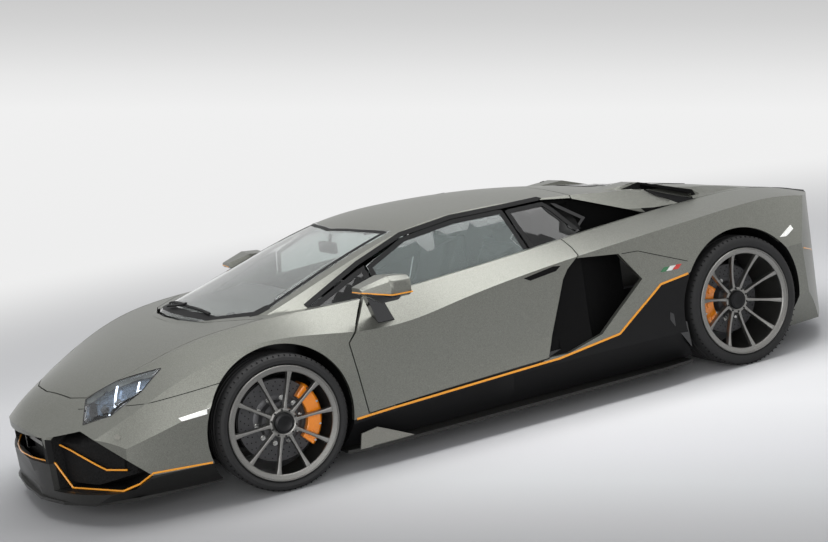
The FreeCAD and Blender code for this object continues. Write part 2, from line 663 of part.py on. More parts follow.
def make_rim(end, side, corner):
    body = document.addObject("PartDesign::Body", "Rim")
    bore = corner.rim - S.rim_wall
    lip = corner.rim - S.rim_lip_width
    step = corner.width - S.rim_lip_depth
    revolve(body, "Barrel", [(bore, 0), (corner.rim, 0), (corner.rim, corner.width),
                             (lip, corner.width), (lip, step), (bore, step)])
    spoke_root = corner.rim - S.rim_lip_width / 2
    spoke_foot = S.wheel_hub_diameter / 4
    front = corner.width - S.rim_lip_depth / 4
    outline = profile_sketch(body, "SpokeOutline", "XZ_Plane",
                             [(spoke_foot, corner.face), (spoke_root, front),
                              (spoke_root, front - S.spoke_depth * 0.7),
                              (spoke_foot, corner.face - S.spoke_depth)])
    spoke = body.newObject("PartDesign::Pad", "Spoke")
    spoke.Profile = outline
    spoke.SideType = "Symmetric"
    spoke.setExpression("Length", S.spoke_width.text)
    hub_radius = S.wheel_hub_diameter / 2
    nut = S.centre_nut_diameter / 2
    nut_face = corner.face + S.centre_nut_height
    revolve(body, "Hub", [(0, corner.hub_back), (hub_radius, corner.hub_back),
                          (hub_radius, corner.face), (nut, corner.face), (nut, nut_face),
                          (0, nut_face)])
    document.recompute()
    pattern = body.newObject("PartDesign::PolarPattern", "Spokes")
    pattern.Originals = [spoke]
    pattern.Axis = (outline, ["V_Axis"])
    pattern.Angle = 360
    pattern.Occurrences = SPOKES
    body.Tip = pattern
    corner.put(body, side)
    finish(body, "rim_%s_%s" % (end, side))


def cylinder(name, radius, length, z=0):
    thing = document.addObject("Part::Cylinder", name)
    bind(thing, Radius=radius, Height=length)
    place(thing, 0, 0, z)
    return thing


def make_disc(end, side, corner):
    swept = cylinder("Friction", corner.disc_radius, S.disc_thickness)
    hat = cylinder("Hat", S.disc_hat_diameter / 2, S.disc_thickness + S.disc_offset)
    joined = document.addObject("Part::Fuse", "DiscAndHat")
    joined.Base = swept
    joined.Tool = hat
    bore = cylinder("Bore", S.stub_diameter / 2 + S.fit_gap,
                    S.disc_thickness + S.disc_offset)
    disc = document.addObject("Part::Cut", "Disc")
    disc.Base = joined
    disc.Tool = bore
    corner.put(disc, side, corner.disc_back)
    finish(disc, "disc_%s_%s" % (end, side))


def make_caliper(end, side, corner):
    """The caliper bridges the disc: behind the axle in front, ahead of it at the rear."""
    outer = corner.disc_radius + 14
    inner = outer - S.caliper_radial_depth
    turn = 180 if end == "front" else 0
    thing = document.addObject("Part::Cylinder", "CaliperArc")
    bind(thing, Radius=outer, Height=S.caliper_width, Angle=S.caliper_angle)
    middle = cylinder("CaliperInside", inner, S.caliper_width)
    arc = document.addObject("Part::Cut", "CaliperRing")
    arc.Base = thing
    arc.Tool = middle
    slot = cylinder("CaliperSlot", corner.disc_radius + 5, S.disc_thickness + 10,
                    (S.caliper_width - S.disc_thickness) / 2 - 5)
    caliper = document.addObject("Part::Cut", "Caliper")
    caliper.Base = arc
    caliper.Tool = slot
    turned = Rotation(Vector(0, 0, 1), turn - S.caliper_angle.value / 2)
    depth = corner.disc_back + S.disc_thickness / 2 - S.caliper_width / 2
    corner.put(caliper, side, depth)
    caliper.Placement = Placement(caliper.Placement.Base, OUTWARD[side] * turned)
    if end == "front":
        finish(caliper, "caliper_front_" + side)
    else:
        rear_calipers.append(caliper)


rear_calipers = []
rear_uprights = []
corners = {end: Corner(end) for end in ("front", "rear")}
for end, corner in corners.items():
    for side in ("left", "right"):
        make_tyre(end, side, corner)
        make_rim(end, side, corner)
        make_disc(end, side, corner)
        make_caliper(end, side, corner)
document.recompute()


# Uprights. The front ones turn with the steering about a vertical post; the rear ones are fixed.
def box(name, length, width, depth):
    thing = document.addObject("Part::Box", name)
    bind(thing, Length=length, Width=width, Height=depth)
    return thing


def fused(name, shapes):
    thing = document.addObject("Part::MultiFuse", name)
    thing.Shapes = shapes
    return thing


def make_upright(end, side, corner):
    """Post, stub axle and caliper bracket, drawn about the wheel's axis like the wheel."""
    offset = S.kingpin_offset if end == "front" else S.rear_post_offset
    post_depth = corner.width / 2 - offset
    stub_radius = S.stub_diameter / 2
    stub = cylinder("Stub", stub_radius, corner.hub_back - post_depth - S.fit_gap, post_depth)
    stub.setExpression("Placement.Base.z", post_depth.text)
    post = cylinder("Post", stub_radius, S.upright_height)
    post.Placement = Placement(Vector(), Rotation(Vector(1, 0, 0), 90))
    post.setExpression("Placement.Base.y", (S.upright_height / 2).text)
    post.setExpression("Placement.Base.z", post_depth.text)
    caliper_back = corner.disc_back + S.disc_thickness / 2 - S.caliper_width / 2
    reach = corner.disc_radius - 20
    bracket = box("Bracket", reach, stub_radius * 2, S.bracket_thickness)
    bracket.setExpression("Placement.Base.y", (stub_radius * -1).text)
    bracket.setExpression("Placement.Base.z", (caliper_back - S.bracket_thickness).text)
    if end == "front":
        bracket.setExpression("Placement.Base.x", (reach * -1).text)
    upright = fused("Upright", [stub, post, bracket])
    corner.put(upright, side)
    if end == "front":
        finish(upright, "knuckle_front_" + side)
    else:
        rear_uprights.append(upright)


def wishbone(x, mount_y, ball_y, z):
    """A flat triangular arm from two mounts on the car to its ball joint, at one height."""
    spread = value("arm_spread") / 2
    bar = value("arm_width")
    ball = value("stub_diameter") / 2
    outline = [(-spread - bar, mount_y), (-spread, mount_y), (-bar / 2, ball_y - bar * 2),
               (bar / 2, ball_y - bar * 2), (spread, mount_y), (spread + bar, mount_y),
               (ball, ball_y), (-ball, ball_y)]
    points = [Vector(x + across, y, z) for across, y in outline]
    arm = Part.Face(Part.makePolygon(points + points[:1])).extrude(Vector(0, 0, bar))
    return arm.fuse(Part.makeCylinder(ball, bar, Vector(x, ball_y, z)))


def make_arms(end, corner, mount_y):
    offset = value("kingpin_offset") if end == "front" else value("rear_post_offset")
    ball_y = corner.inner_y.value + corner.width.value / 2 - offset
    half_post = value("upright_height") / 2
    centre = corner.radius.value
    low = wishbone(corner.axle.value, mount_y, ball_y,
                   centre - half_post - fit - value("arm_width"))
    high = wishbone(corner.axle.value, mount_y, ball_y, centre + half_post + fit)
    return both_sides(Part.makeCompound([low, high]))


for end, corner in corners.items():
    for side in ("left", "right"):
        make_upright(end, side, corner)
document.recompute()
feature("calipers_rear", Part.makeCompound([caliper.Shape for caliper in rear_calipers]))
feature("uprights_rear", Part.makeCompound([upright.Shape for upright in rear_uprights]))
arms = [make_arms("front", corners["front"], front_well - fit),
        make_arms("rear", corners["rear"], rear_well - fit)]
feature("suspension_arms", Part.makeCompound(arms))

# Rear subframe: two rails behind the tub and three cross members, under the engine
rail_x = gx(940) - fit
rear_end = gx(-640)
rail = Part.makeBox(rail_x - rear_end, 60, 330, Vector(rear_end, rear_well - fit - 60, 170))
frame = rail.fuse(mirrored(rail))
for x in (700, 0, -620):
    frame = frame.fuse(Part.makeBox(70, 2 * (rear_well - fit - 30), 50,
                                    Vector(gx(x), -(rear_well - fit - 30), 170)))
feature("rear_subframe", frame)
engine = box("Engine", S.engine_length, S.engine_width, S.engine_height)
gearbox = box("Gearbox", S.engine_length * 0.7, S.engine_width * 0.6, S.engine_height * 0.6)
gearbox.setExpression("Placement.Base.x", (S.engine_length * -0.7).text)
gearbox.setExpression("Placement.Base.y", (S.engine_width * 0.2).text)
power = fused("EngineAndGearbox", [engine, gearbox])
place(power, AXLE_REAR + 60, S.engine_width / -2, 220 + fit)
finish(power, "engine_block")

# Exhaust: two pipes from the gearbox to the tail
pipes = []
for y in (-70, 70):
    outside = Part.makeCylinder(value("exhaust_diameter") / 2, 420, Vector(gx(-1060), y, 400),
                                Vector(1, 0, 0))
    inside = Part.makeCylinder(value("exhaust_diameter") / 2 - 3, 300, Vector(gx(-1060), y, 400),
                               Vector(1, 0, 0))
    pipes.append(outside.cut(inside))
feature("exhaust_tips", Part.makeCompound(pipes))

# Wheel arch liners and the black ducts in the body's side
arch_shapes = []
for x, radius, arch, well in ((front_axle, front_radius, front_arch, front_well),
                              (rear_axle, rear_radius, rear_arch, rear_well)):
    outside = arch_cylinder(x, radius, arch + steer_room + liner, well)
    inside = arch_cylinder(x, radius, arch + steer_room, well - 1)
    ring = outside.cut(inside).common(lower_inner)
    arch_shapes.append(ring.cut(hood_room).cut(door_room))
feature("arch_liners", both_sides(Part.makeCompound(arch_shapes)))
SIDE_DUCT = [(1300, 700), (1300, 925), (1080, 898), (880, 850), (700, 775), (600, 745), (600, 700)]
duct = plan_prism(SIDE_DUCT, 300, 800).common(lower_inner).cut(tub).cut(door_room)
duct = duct.cut(wheel_rooms_behind)
duct_clearance = plan_prism(mirror_outline(ENGINE_LID), 590, 1300, 2 * gap)
UPPER_DUCT = [(930, 1036), (770, 1036), (275, 862), (275, 830), (930, 830)]
upper = cabin_body(value("upper_duct_depth")).common(side_prism(UPPER_DUCT, 430, 1200))
upper_wall = side_prism(UPPER_DUCT, 430, 1200, liner).cut(side_prism(UPPER_DUCT, 430, 1200))
upper_tab = cabin_inner.common(grid_box(780, 900, 430, 620, 1030, 1090))
upper = upper.fuse(cabin_inner.common(upper_wall)).fuse(upper_tab)
upper = upper.cut(lower_grown).cut(duct_clearance)
feature("side_ducts", both_sides(Part.makeCompound(duct.Solids + upper.Solids)))

# Floor, splitter, diffuser and the linings behind the nose and tail openings
feature("undertray", skin.common(grid_box(-240, 2690, -495, 495, 0, 160)))
SPLITTER = [(3200, 0), (3000, 830), (3400, 800), (3590, 690), (3700, 520), (3765, 300), (3780, 0)]
splitter = plan_prism(mirror_outline(SPLITTER), 0, 130)
feature("splitter", splitter.common(slab))
DIFFUSER = [(-240, 115), (-640, 135), (-960, 250), (-975, 315), (-990, 315), (-980, 240), (-640, 115),
            (-240, 95)]
diffuser = side_prism(DIFFUSER, -545, 545)
for y in (-420, -210, 0, 210, 420):
    diffuser = diffuser.fuse(side_prism([(-980, 245), (-640, 120), (-620, 100), (-1000, 130)], y - 6, y + 6))
feature("diffuser", diffuser.common(plan_outline(panel)))
exhaust_room = [Part.makeCylinder(value("exhaust_diameter") / 2 + fit, 600, Vector(gx(-1200), y, 400),
                                  Vector(1, 0, 0)) for y in (-70, 70)]
wall_room = lower_inner.cut(lower_lining)
tail_lining = lining.common(grid_box(-1200, -700, -620, 620, 325, 595))
tail_walls = grid_box(-1200, -700, -608, 608, 337, 583).cut(grille_opening)
tail_lining = tail_lining.fuse(wall_room.common(tail_walls)).cut(Part.makeCompound(exhaust_room))
nose_walls = side_prism(NOSE_INTAKE, STRUT_OUTER - liner, 1200, liner)
nose_walls = nose_walls.cut(side_prism(NOSE_INTAKE, STRUT_OUTER, 1200))
nose_room = side_prism(NOSE_INTAKE, -1200, 1200, liner)
nose_lining = lining.common(nose_room).fuse(both_sides(wall_room.common(nose_walls)))
nose_lining = nose_lining.cut(wheel_rooms_behind)
feature("grille_linings", Part.makeCompound(tail_lining.Solids + nose_lining.Solids))

# Cabin
DASHBOARD = [(2440, 600), (2440, 770), (2260, 800), (2150, 770), (2130, 700), (2250, 600)]
CONSOLE = [(2440, 155), (2440, 620), (2130, 620), (2130, 520), (1600, 400), (1200, 420), (1200, 155)]
COLUMN_RADIUS = 25
COLUMN_REACH = 300
seat_y = half_width * 0.37
wheel_turn = Rotation(Vector(0, 1, 0), -68) * Rotation(Vector(0, 0, 1), 90)
column_room = Part.makeCylinder(COLUMN_RADIUS + fit, COLUMN_REACH,
                                Vector(gx(2010), seat_y, gz(690)),
                                wheel_turn.multVec(Vector(0, 0, -1)))
dashboard = side_prism(DASHBOARD, -680, 680).fuse(side_prism(CONSOLE, -110, 110))
feature("dashboard", dashboard.cut(wheel_rooms_behind).cut(column_room))
SEAT = [(1850, 155.3), (1850, 370), (1790, 400), (1400, 330), (1310, 420), (1120, 900), (1060, 900),
        (1060, 420), (1160, 155.3)]
seats = []
for sign in (1, -1):
    middle = sign * seat_y
    room = Part.makeBox(3000, value("seat_width"), 1200,
                        Vector(-1500, middle - value("seat_width") / 2, 0))
    seats.append(side_prism(SEAT, -1000, 1000).common(room))
feature("seats", Part.makeCompound(seats))
ring = document.addObject("Part::Torus", "SteeringRing")
bind(ring, Radius1=S.steering_wheel_diameter / 2 - 15, Radius2=15)
hub = cylinder("SteeringHub", S.steering_wheel_diameter / 6, 40, -40)
column = cylinder("SteeringColumn", COLUMN_RADIUS, 190, -230)
spoke_bar = box("SteeringSpokes", S.steering_wheel_diameter - 30, 40, 16)
spoke_bar.setExpression("Placement.Base.x", (S.steering_wheel_diameter / -2 + 15).text)
wheel = fused("SteeringWheel", [ring, hub, column, spoke_bar])
place(wheel, gx(2010), seat_y, gz(690), wheel_turn)
finish(wheel, "steering_wheel")

# Mirrors on the doors
MIRROR_REAR = [(925, 832), (1085, 818), (1125, 834), (1130, 902), (1088, 920), (935, 912)]
MIRROR_MIDDLE = [(925, 832), (1085, 820), (1120, 836), (1122, 906), (1088, 930), (935, 924)]
MIRROR_FRONT = [(955, 866), (1045, 862), (1075, 872), (1075, 882), (1045, 892), (958, 892)]
STALK_FOOT = [(2020, 850), (2110, 850), (2110, 900), (2020, 900)]
STALK_HEAD = [(2120, 925), (2190, 925), (2190, 975), (2120, 975)]


def ring_across(x, points):
    """A closed outline across the car at one place along it, from points as y and z."""
    corners = [Vector(gx(x), gy(y), gz(z)) for y, z in points]
    return Part.makePolygon(corners + corners[:1])


def ring_level(z, points):
    """A closed level outline at one height, from points as x and y."""
    corners = [Vector(gx(x), gy(y), gz(z)) for x, y in points]
    return Part.makePolygon(corners + corners[:1])


head = Part.makeLoft([ring_across(2010, MIRROR_REAR), ring_across(2110, MIRROR_MIDDLE),
                      ring_across(2245, MIRROR_FRONT)], True, True)
stalk = Part.makeLoft([ring_level(670, STALK_FOOT), ring_level(850, STALK_HEAD)], True, True)
for side in ("left", "right"):
    turn = mirrored if side == "right" else Part.Shape.copy
    feature("mirror_" + side, turn(head.fuse(stalk).cut(lower_grown)))

document.recompute()
for thing in document.Objects:
    if "Invalid" in thing.State or "Error" in thing.State:
        raise RuntimeError("%s failed: %s" % (thing.Label, thing.State))
for thing in parts:
    if thing.Shape.isNull() or not thing.Shape.isValid():
        raise RuntimeError("%s has no valid shape" % thing.Label)
os.makedirs("parts", exist_ok=True)
for thing in parts:
    thing.Shape.exportStep("parts/%s.step" % thing.Label)
    print("%-24s %d solids %9.2f litres" % (thing.Label, len(thing.Shape.Solids),
                                            thing.Shape.Volume / 1e6))
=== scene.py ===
import bmesh
import bpy
import math
from mathutils import Matrix, Vector
from mathutils.bvhtree import BVHTree


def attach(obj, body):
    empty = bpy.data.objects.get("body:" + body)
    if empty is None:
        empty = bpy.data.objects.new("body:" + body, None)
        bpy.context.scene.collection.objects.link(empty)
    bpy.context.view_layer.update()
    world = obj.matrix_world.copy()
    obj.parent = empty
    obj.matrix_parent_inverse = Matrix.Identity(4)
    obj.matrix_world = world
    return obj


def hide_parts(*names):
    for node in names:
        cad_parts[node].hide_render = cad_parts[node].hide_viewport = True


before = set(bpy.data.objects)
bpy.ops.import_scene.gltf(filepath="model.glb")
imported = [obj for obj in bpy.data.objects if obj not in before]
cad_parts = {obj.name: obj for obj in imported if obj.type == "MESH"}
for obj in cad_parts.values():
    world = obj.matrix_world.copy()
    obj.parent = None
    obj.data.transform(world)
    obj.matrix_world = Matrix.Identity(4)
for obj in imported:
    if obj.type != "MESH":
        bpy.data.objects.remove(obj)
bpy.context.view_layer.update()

bl_info = {
    "name": "Supercar looks",
    "version": (1, 0, 0),
    "blender": (4, 5, 0),
    "location": "View3D > Sidebar > Supercar",
    "description": "Dresses the packed supercar: paint, glass, wheels, lamps, cabin and studio",
    "category": "Object",
}


SIDES = (("left", 1), ("right", -1))
FRONT_AXLE = 1.346
REAR_AXLE = -1.354
TINY = 1e-6
MERGE_DISTANCE = 0.00002
LAY_STEP = 0.02
LAY_ROUNDS = 6
LEAST_ACROSS = 0.2
BAR_SIDES = 10

# Edges that turn by more degrees than this stay creased. 0 leaves a piece in flat faces.
FLAT_FACES = 0
PANEL_CREASE = 9
SHELL_CREASE = 25
CAST_CREASE = 30
BAR_CREASE = 35
SMOOTH_CREASE = 40

# Studio colours, up the wall and across the floor, each with its place from 0 to 1. The greying
# toward the wall's top and along the floor is painted shade.
WALL_SHADE_STOPS = [(0.55, "#eeeeee"), (0.80, "#f0f0f0"), (0.86, "#e8e8e8"), (0.90, "#dfdfdf"),
              (0.96, "#d2d2d2"), (1.0, "#cccccc")]
FLOOR_SHADE_STOPS = [(0.06, "#ececed"), (0.31, "#dadadc"), (0.45, "#cccdce"), (0.59, "#b4b4b5"),
               (0.69, "#a2a2a3"), (1.0, "#909091")]


# Small tools

def srgb(code):
    """An sRGB hex colour as the linear colour that Blender's sockets take."""
    parts = [int(code[i:i + 2], 16) / 255 for i in (1, 3, 5)]
    linear = [c / 12.92 if c <= 0.04045 else ((c + 0.055) / 1.055) ** 2.4 for c in parts]
    return (*linear, 1.0)


def set_stops(elements, stops):
    """Fills a colour ramp with places from 0 to 1 and their hex colours, in rising order."""
    for place, colour in stops[1:-1]:
        elements.new(place).color = srgb(colour)
    for element, (place, colour) in ((elements[0], stops[0]), (elements[-1], stops[-1])):
        element.position = place
        element.color = srgb(colour)


def node(tree, kind, settings=None, links=None):
    """Adds one shader node, sets its fields, sockets or stops, and links its sockets."""
    made = tree.nodes.new(kind)
    for key, value in (settings or {}).items():
        if key == "stops":
            set_stops(made.color_ramp.elements, value)
        elif isinstance(key, int) or key in made.inputs:
            made.inputs[key].default_value = value
        else:
            setattr(made, key, value)
    for key, output in (links or {}).items():
        tree.links.new(output, made.inputs[key])
    return made


def new_material(name, **sockets):
    """A material with one Principled shader whose sockets are set directly."""
    material = bpy.data.materials.new(name)
    material.use_nodes = True
    tree = material.node_tree
    tree.nodes.clear()
    shader = node(tree, "ShaderNodeBsdfPrincipled",
                  {key.replace("_", " "): value for key, value in sockets.items()})
    node(tree, "ShaderNodeOutputMaterial", links={"Surface": shader.outputs[0]})
    return material, tree, shader


def object_coordinates(tree):
    """A point's place on its own piece, in metres."""
    return node(tree, "ShaderNodeTexCoord").outputs["Object"]


def raise_by(tree, shader, height, strength, depth_mm, invert=False):
    """Lets a pattern raise the surface by up to depth_mm."""
    bump = node(tree, "ShaderNodeBump",
                {"Strength": strength, "Distance": depth_mm / 1000, "invert": invert},
                {"Height": height})
    tree.links.new(bump.outputs[0], shader.inputs["Normal"])


def colour_by(tree, shader, factor, low, high, start=0.3, end=0.7):
    """Runs the surface's colour from low to high as a factor goes from start to end."""
    ramp = node(tree, "ShaderNodeValToRGB", {"stops": [(start, low), (end, high)]},
                {"Fac": factor})
    tree.links.new(ramp.outputs[0], shader.inputs["Base Color"])


def grain_relief(tree, shader, size_mm, depth_mm, strength):
    """Fine relief with grains about size_mm across. Its noise comes back, to colour them."""
    noise = node(tree, "ShaderNodeTexNoise", {"Scale": 1000 / size_mm, "Detail": 3.0},
                 {"Vector": object_coordinates(tree)})
    raise_by(tree, shader, noise.outputs[0], strength, depth_mm)
    return noise.outputs[0]


def backdrop(tree):
    """The studio wall's colour: light near the floor and greyer toward the picture's top, painted
    shade where less light reaches it.
    """
    where = node(tree, "ShaderNodeTexCoord")
    split = node(tree, "ShaderNodeSeparateXYZ", links={0: where.outputs["Window"]})
    return node(tree, "ShaderNodeValToRGB", {"stops": WALL_SHADE_STOPS},
                {"Fac": split.outputs["Y"]}).outputs[0]


# Materials

def satin_paint(name, low, high, roughness=0.36):
    # Satin metallic car paint: sprayed base coat with aluminium flake under a matt clear coat,
    # with faint orange peel. Flakes of about 0.1 mm are drawn at 2 mm, so that they show.
    material, tree, shader = new_material(name, Metallic=0.72, Roughness=roughness, IOR=1.5,
                                          Coat_Weight=0.25, Coat_Roughness=0.32)
    where = object_coordinates(tree)
    flake = node(tree, "ShaderNodeTexVoronoi", {"Scale": 1000 / 2.0}, {"Vector": where})
    spread = node(tree, "ShaderNodeSeparateColor", links={0: flake.outputs["Color"]})
    colour_by(tree, shader, spread.outputs[0], low, high, 0.0, 1.0)
    peel = node(tree, "ShaderNodeTexNoise", {"Scale": 120.0, "Detail": 2.0}, {"Vector": where})
    raise_by(tree, shader, peel.outputs[0], 0.06, 0.4)
    return material


def moulded_plastic(name, low, high, roughness=0.62, grain=1.6):
    # Grained polypropylene: injection moulded, matt, with a leather-like grain of under 2 mm.
    material, tree, shader = new_material(name, Metallic=0.0, Roughness=roughness, IOR=1.49,
                                          Specular_IOR_Level=0.22)
    colour_by(tree, shader, grain_relief(tree, shader, grain, 0.15, 0.35), low, high)
    return material


def gloss_plastic(name, low, high):
    # Moulded and lacquered ABS: a deep clear gloss over an even colour.
    material, tree, shader = new_material(name, Metallic=0.0, Roughness=0.12, IOR=1.5,
                                          Coat_Weight=0.6, Coat_Roughness=0.05)
    colour_by(tree, shader, grain_relief(tree, shader, 6.0, 0.02, 0.1), low, high)
    return material


def carbon_weave(name):
    # Carbon fibre in a 2x2 twill: 2 mm tows under satin lacquer, drawn at 5 mm to show.
    material, tree, shader = new_material(name, Metallic=0.1, Roughness=0.38, IOR=1.5,
                                          Coat_Weight=0.5, Coat_Roughness=0.2)
    where = object_coordinates(tree)
    twill = node(tree, "ShaderNodeTexWave", {"Scale": 60.0, "bands_direction": "DIAGONAL"},
                 {"Vector": where})
    tows = node(tree, "ShaderNodeTexChecker", {"Scale": 1000 / 5.0}, {"Vector": where})
    blend = node(tree, "ShaderNodeMath", {"operation": "MULTIPLY"},
                 {0: twill.outputs["Fac"], 1: tows.outputs["Fac"]})
    colour_by(tree, shader, blend.outputs[0], "#0c0c0d", "#26272a", 0.1, 0.9)
    return material


def tyre_rubber(name):
    # Vulcanised carbon-black rubber, moulded: dull, with fine mould grain.
    material, tree, shader = new_material(name, Roughness=0.72, IOR=1.52)
    colour_by(tree, shader, grain_relief(tree, shader, 2.5, 0.2, 0.4), "#060607", "#101011")
    return material


def satin_metal(name, low, high, roughness, metallic=1.0, grain=3.0, depth=0.05):
    # Cast or forged metal, shot-blasted and lacquered: a soft even sheen with a fine grain.
    material, tree, shader = new_material(name, Metallic=metallic, Roughness=roughness)
    colour_by(tree, shader, grain_relief(tree, shader, grain, depth, 0.3), low, high)
    return material


def lacquer(name, low, high):
    # Gloss enamel on calipers, stripes and bands: sprayed and baked, shiny, slightly uneven.
    material, tree, shader = new_material(name, Roughness=0.28, IOR=1.5, Coat_Weight=0.7,
                                          Coat_Roughness=0.1)
    colour_by(tree, shader, grain_relief(tree, shader, 8.0, 0.1, 0.25), low, high)
    return material


def window_glass(name, tint, clear=1.0):
    # Laminated or tempered soda-lime glass, float made: clear, with a faint long ripple.
    # Where clear is below 1, the rest of the surface is diffuse in the tint colour, a veil over the
    # glass.
    material, tree, shader = new_material(name, Base_Color=srgb(tint), Roughness=0.02,
                                          IOR=1.45, Transmission_Weight=clear)
    ripple = node(tree, "ShaderNodeTexNoise", {"Scale": 3.0, "Detail": 1.0},
                  {"Vector": object_coordinates(tree)})
    raise_by(tree, shader, ripple.outputs[0], 0.02, 1.0)
    return material


def leather(name, low, high):
    # Finished bovine leather: pigmented and embossed with a pebble grain of about 2 mm.
    material, tree, shader = new_material(name, Roughness=0.5, IOR=1.48, Sheen_Weight=0.15,
                                          Sheen_Roughness=0.5)
    pebbles = node(tree, "ShaderNodeTexVoronoi", {"Scale": 450.0},
                   {"Vector": object_coordinates(tree)})
    raise_by(tree, shader, pebbles.outputs["Distance"], 0.12, 0.3)
    colour_by(tree, shader, pebbles.outputs["Distance"], low, high)
    return material


def glow(name, colour, strength):
    # A lit diode bar behind a frosted polycarbonate guide: even light, soft edges.
    material, tree, shader = new_material(name, Base_Color=srgb(colour), Roughness=0.3,
                                          Emission_Color=srgb(colour),
                                          Emission_Strength=strength)
    grain_relief(tree, shader, 2.0, 0.05, 0.2)
    return material


def wire_mesh(name):
    # Honeycomb grille, moulded in black polypropylene: cells of about 14 mm, matt walls. The cells
    # are not open; their near black is painted shade.
    material, tree, shader = new_material(name, Roughness=0.7, IOR=1.49,
                                          Specular_IOR_Level=0.2)
    cells = node(tree, "ShaderNodeTexVoronoi", {"Scale": 70.0, "feature": "DISTANCE_TO_EDGE"},
                 {"Vector": object_coordinates(tree)})
    colour_by(tree, shader, cells.outputs["Distance"], "#101011", "#010101", 0.05, 0.12)
    raise_by(tree, shader, cells.outputs["Distance"], 0.8, 3.0, invert=True)
    return material


MATERIALS = {}


def shades(code, darker, lighter):
    """Two hex colours around one, its channels times each factor."""
    parts = [int(code[i:i + 2], 16) for i in (1, 3, 5)]
    return ["#%02x%02x%02x" % tuple(min(255, round(part * factor)) for part in parts)
            for factor in (darker, lighter)]


def make_materials(s):
    """Every material by its short name, in the colours of the settings."""
    MATERIALS.update({
        "paint": satin_paint("satin_grey_paint", s.paint_low, s.paint_high),
        "lip": satin_paint("dark_grey_lower_paint", "#222221", "#2d2d2b", 0.45),
        "edge": satin_paint("grey_blade_paint", "#77766f", "#8d8c85"),
        "green": lacquer("green_band_lacquer", "#2a6b42", "#2f7449"),
        "white": lacquer("white_band_lacquer", "#e4e4e0", "#ecece8"),
        "red_band": lacquer("red_band_lacquer", "#c0281e", "#cc3024"),
        "bowl": satin_metal("blue_grey_lamp_bowl", "#5d6b7c", "#8796a6", 0.22, 0.8, 14.0, 0.6),
        "stripe": lacquer("orange_stripe_lacquer", *shades(s.stripe_colour, 0.98, 1.02)),
        "caliper": lacquer("orange_caliper_lacquer", *shades(s.caliper_colour, 0.97, 1.03)),
        "black": moulded_plastic("black_polypropylene", "#0a0a0b", "#131314"),
        # Near black, darker than the black polypropylene: black plastic on the linings and
        # undertray, and painted shade in ducts, scoops, recesses, holes, grooves and gaps.
        "dark": moulded_plastic("black_plastic_and_painted_shade", "#020202", "#040405", 0.9),
        "seal": moulded_plastic("black_rubber_seal", "#060607", "#0b0b0c", 0.55, 1.0),
        "gloss": gloss_plastic("gloss_black_abs", "#060607", "#0c0c0e"),
        "carbon": carbon_weave("satin_carbon_twill"),
        "tyre": tyre_rubber("tyre_rubber"),
        "wheel": satin_metal("satin_grey_forged_wheel", *shades(s.wheel_colour, 0.93, 1.07), 0.36,
                             0.9),
        "hub": satin_metal("black_anodised_hub", "#101011", "#1b1b1c", 0.35, 0.6),
        "disc": satin_metal("carbon_ceramic_disc", "#3a3a3b", "#58585a", 0.42, 0.5, 1.2, 0.1),
        "bright": satin_metal("zinc_plated_steel", "#a8a8a6", "#c8c8c5", 0.25),
        "alloy": satin_metal("cast_aluminium", "#7c7c7b", "#999996", 0.5, 1.0, 1.5, 0.2),
        "steel": satin_metal("powder_coated_steel", "#18181a", "#232325", 0.5, 0.2),
        "exhaust": satin_metal("titanium_exhaust", "#5e5a55", "#7b756c", 0.3),
        # The screen's and side windows' clear below 1 lays a milky veil of their light tint over
        # the glass: a painted sheen that stands in for reflections.
        "screen": window_glass("laminated_screen_glass_with_painted_sheen", "#f3f7f5", 0.92),
        "window": window_glass("tinted_side_glass_with_painted_sheen", "#cdd8d6", 0.87),
        # The quarter glass's dark tint makes the cabin behind it look black: painted shade.
        "quarter": window_glass("dark_quarter_glass_as_painted_shade", "#2b302e", 0.95),
        "lens": window_glass("polycarbonate_lamp_lens", "#eef4fa"),
        "red": gloss_plastic("red_tail_lens", "#4a0406", "#6a080a"),
        "white_lamp": glow("white_daylight_bar", "#f2f6ff", 2.0),
        "marker": glow("white_marker_lens", "#f4f4f0", 0.3),
        "red_lamp": glow("red_tail_bar", "#c01018", 0.6),
        "leather": leather("black_cabin_leather", *shades(s.leather_colour, 0.7, 1.35)),
        "grille": wire_mesh("black_honeycomb_grille"),
    })


# Shapes

def finish_piece(name, shape, material, body, smooth=BAR_CREASE, replaces=()):
    """Turns a bmesh into a named piece that rides on a CAD body."""
    mesh = bpy.data.meshes.new(name)
    shape.to_mesh(mesh)
    shape.free()
    piece = bpy.data.objects.new(name, mesh)
    bpy.context.scene.collection.objects.link(piece)
    for entry in material if isinstance(material, (list, tuple)) else [material]:
        mesh.materials.append(MATERIALS[entry])
    if smooth:
        mesh.shade_smooth()
        mesh.set_sharp_from_angle(angle=math.radians(smooth))
    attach(piece, body)
    if replaces:
        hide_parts(*replaces)
    return piece


def copy_node(name):
    """A clean copy of a CAD node's mesh, its loose triangles merged."""
    shape = bmesh.new()
    shape.from_mesh(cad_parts[name].data)
    bmesh.ops.remove_doubles(shape, verts=shape.verts, dist=MERGE_DISTANCE)
    bmesh.ops.dissolve_degenerate(shape, edges=shape.edges, dist=MERGE_DISTANCE)
    return shape


def dress(names, material, body, smooth=PANEL_CREASE):
    """Smooth copies of CAD nodes, each standing for its own node."""
    for name in names:
        finish_piece(name + "_skin", copy_node(name), material, body, smooth, [name])


def dress_two(name, materials, rule, body, smooth=PANEL_CREASE, ending="_skin"):
    """A copy of a CAD node in two materials. The rule, by centre and normal, picks the second."""
    shape = copy_node(name)
    for face in shape.faces:
        face.material_index = int(rule(face.calc_center_median(), face.normal))
    finish_piece(name + ending, shape, materials, body, smooth, [name])


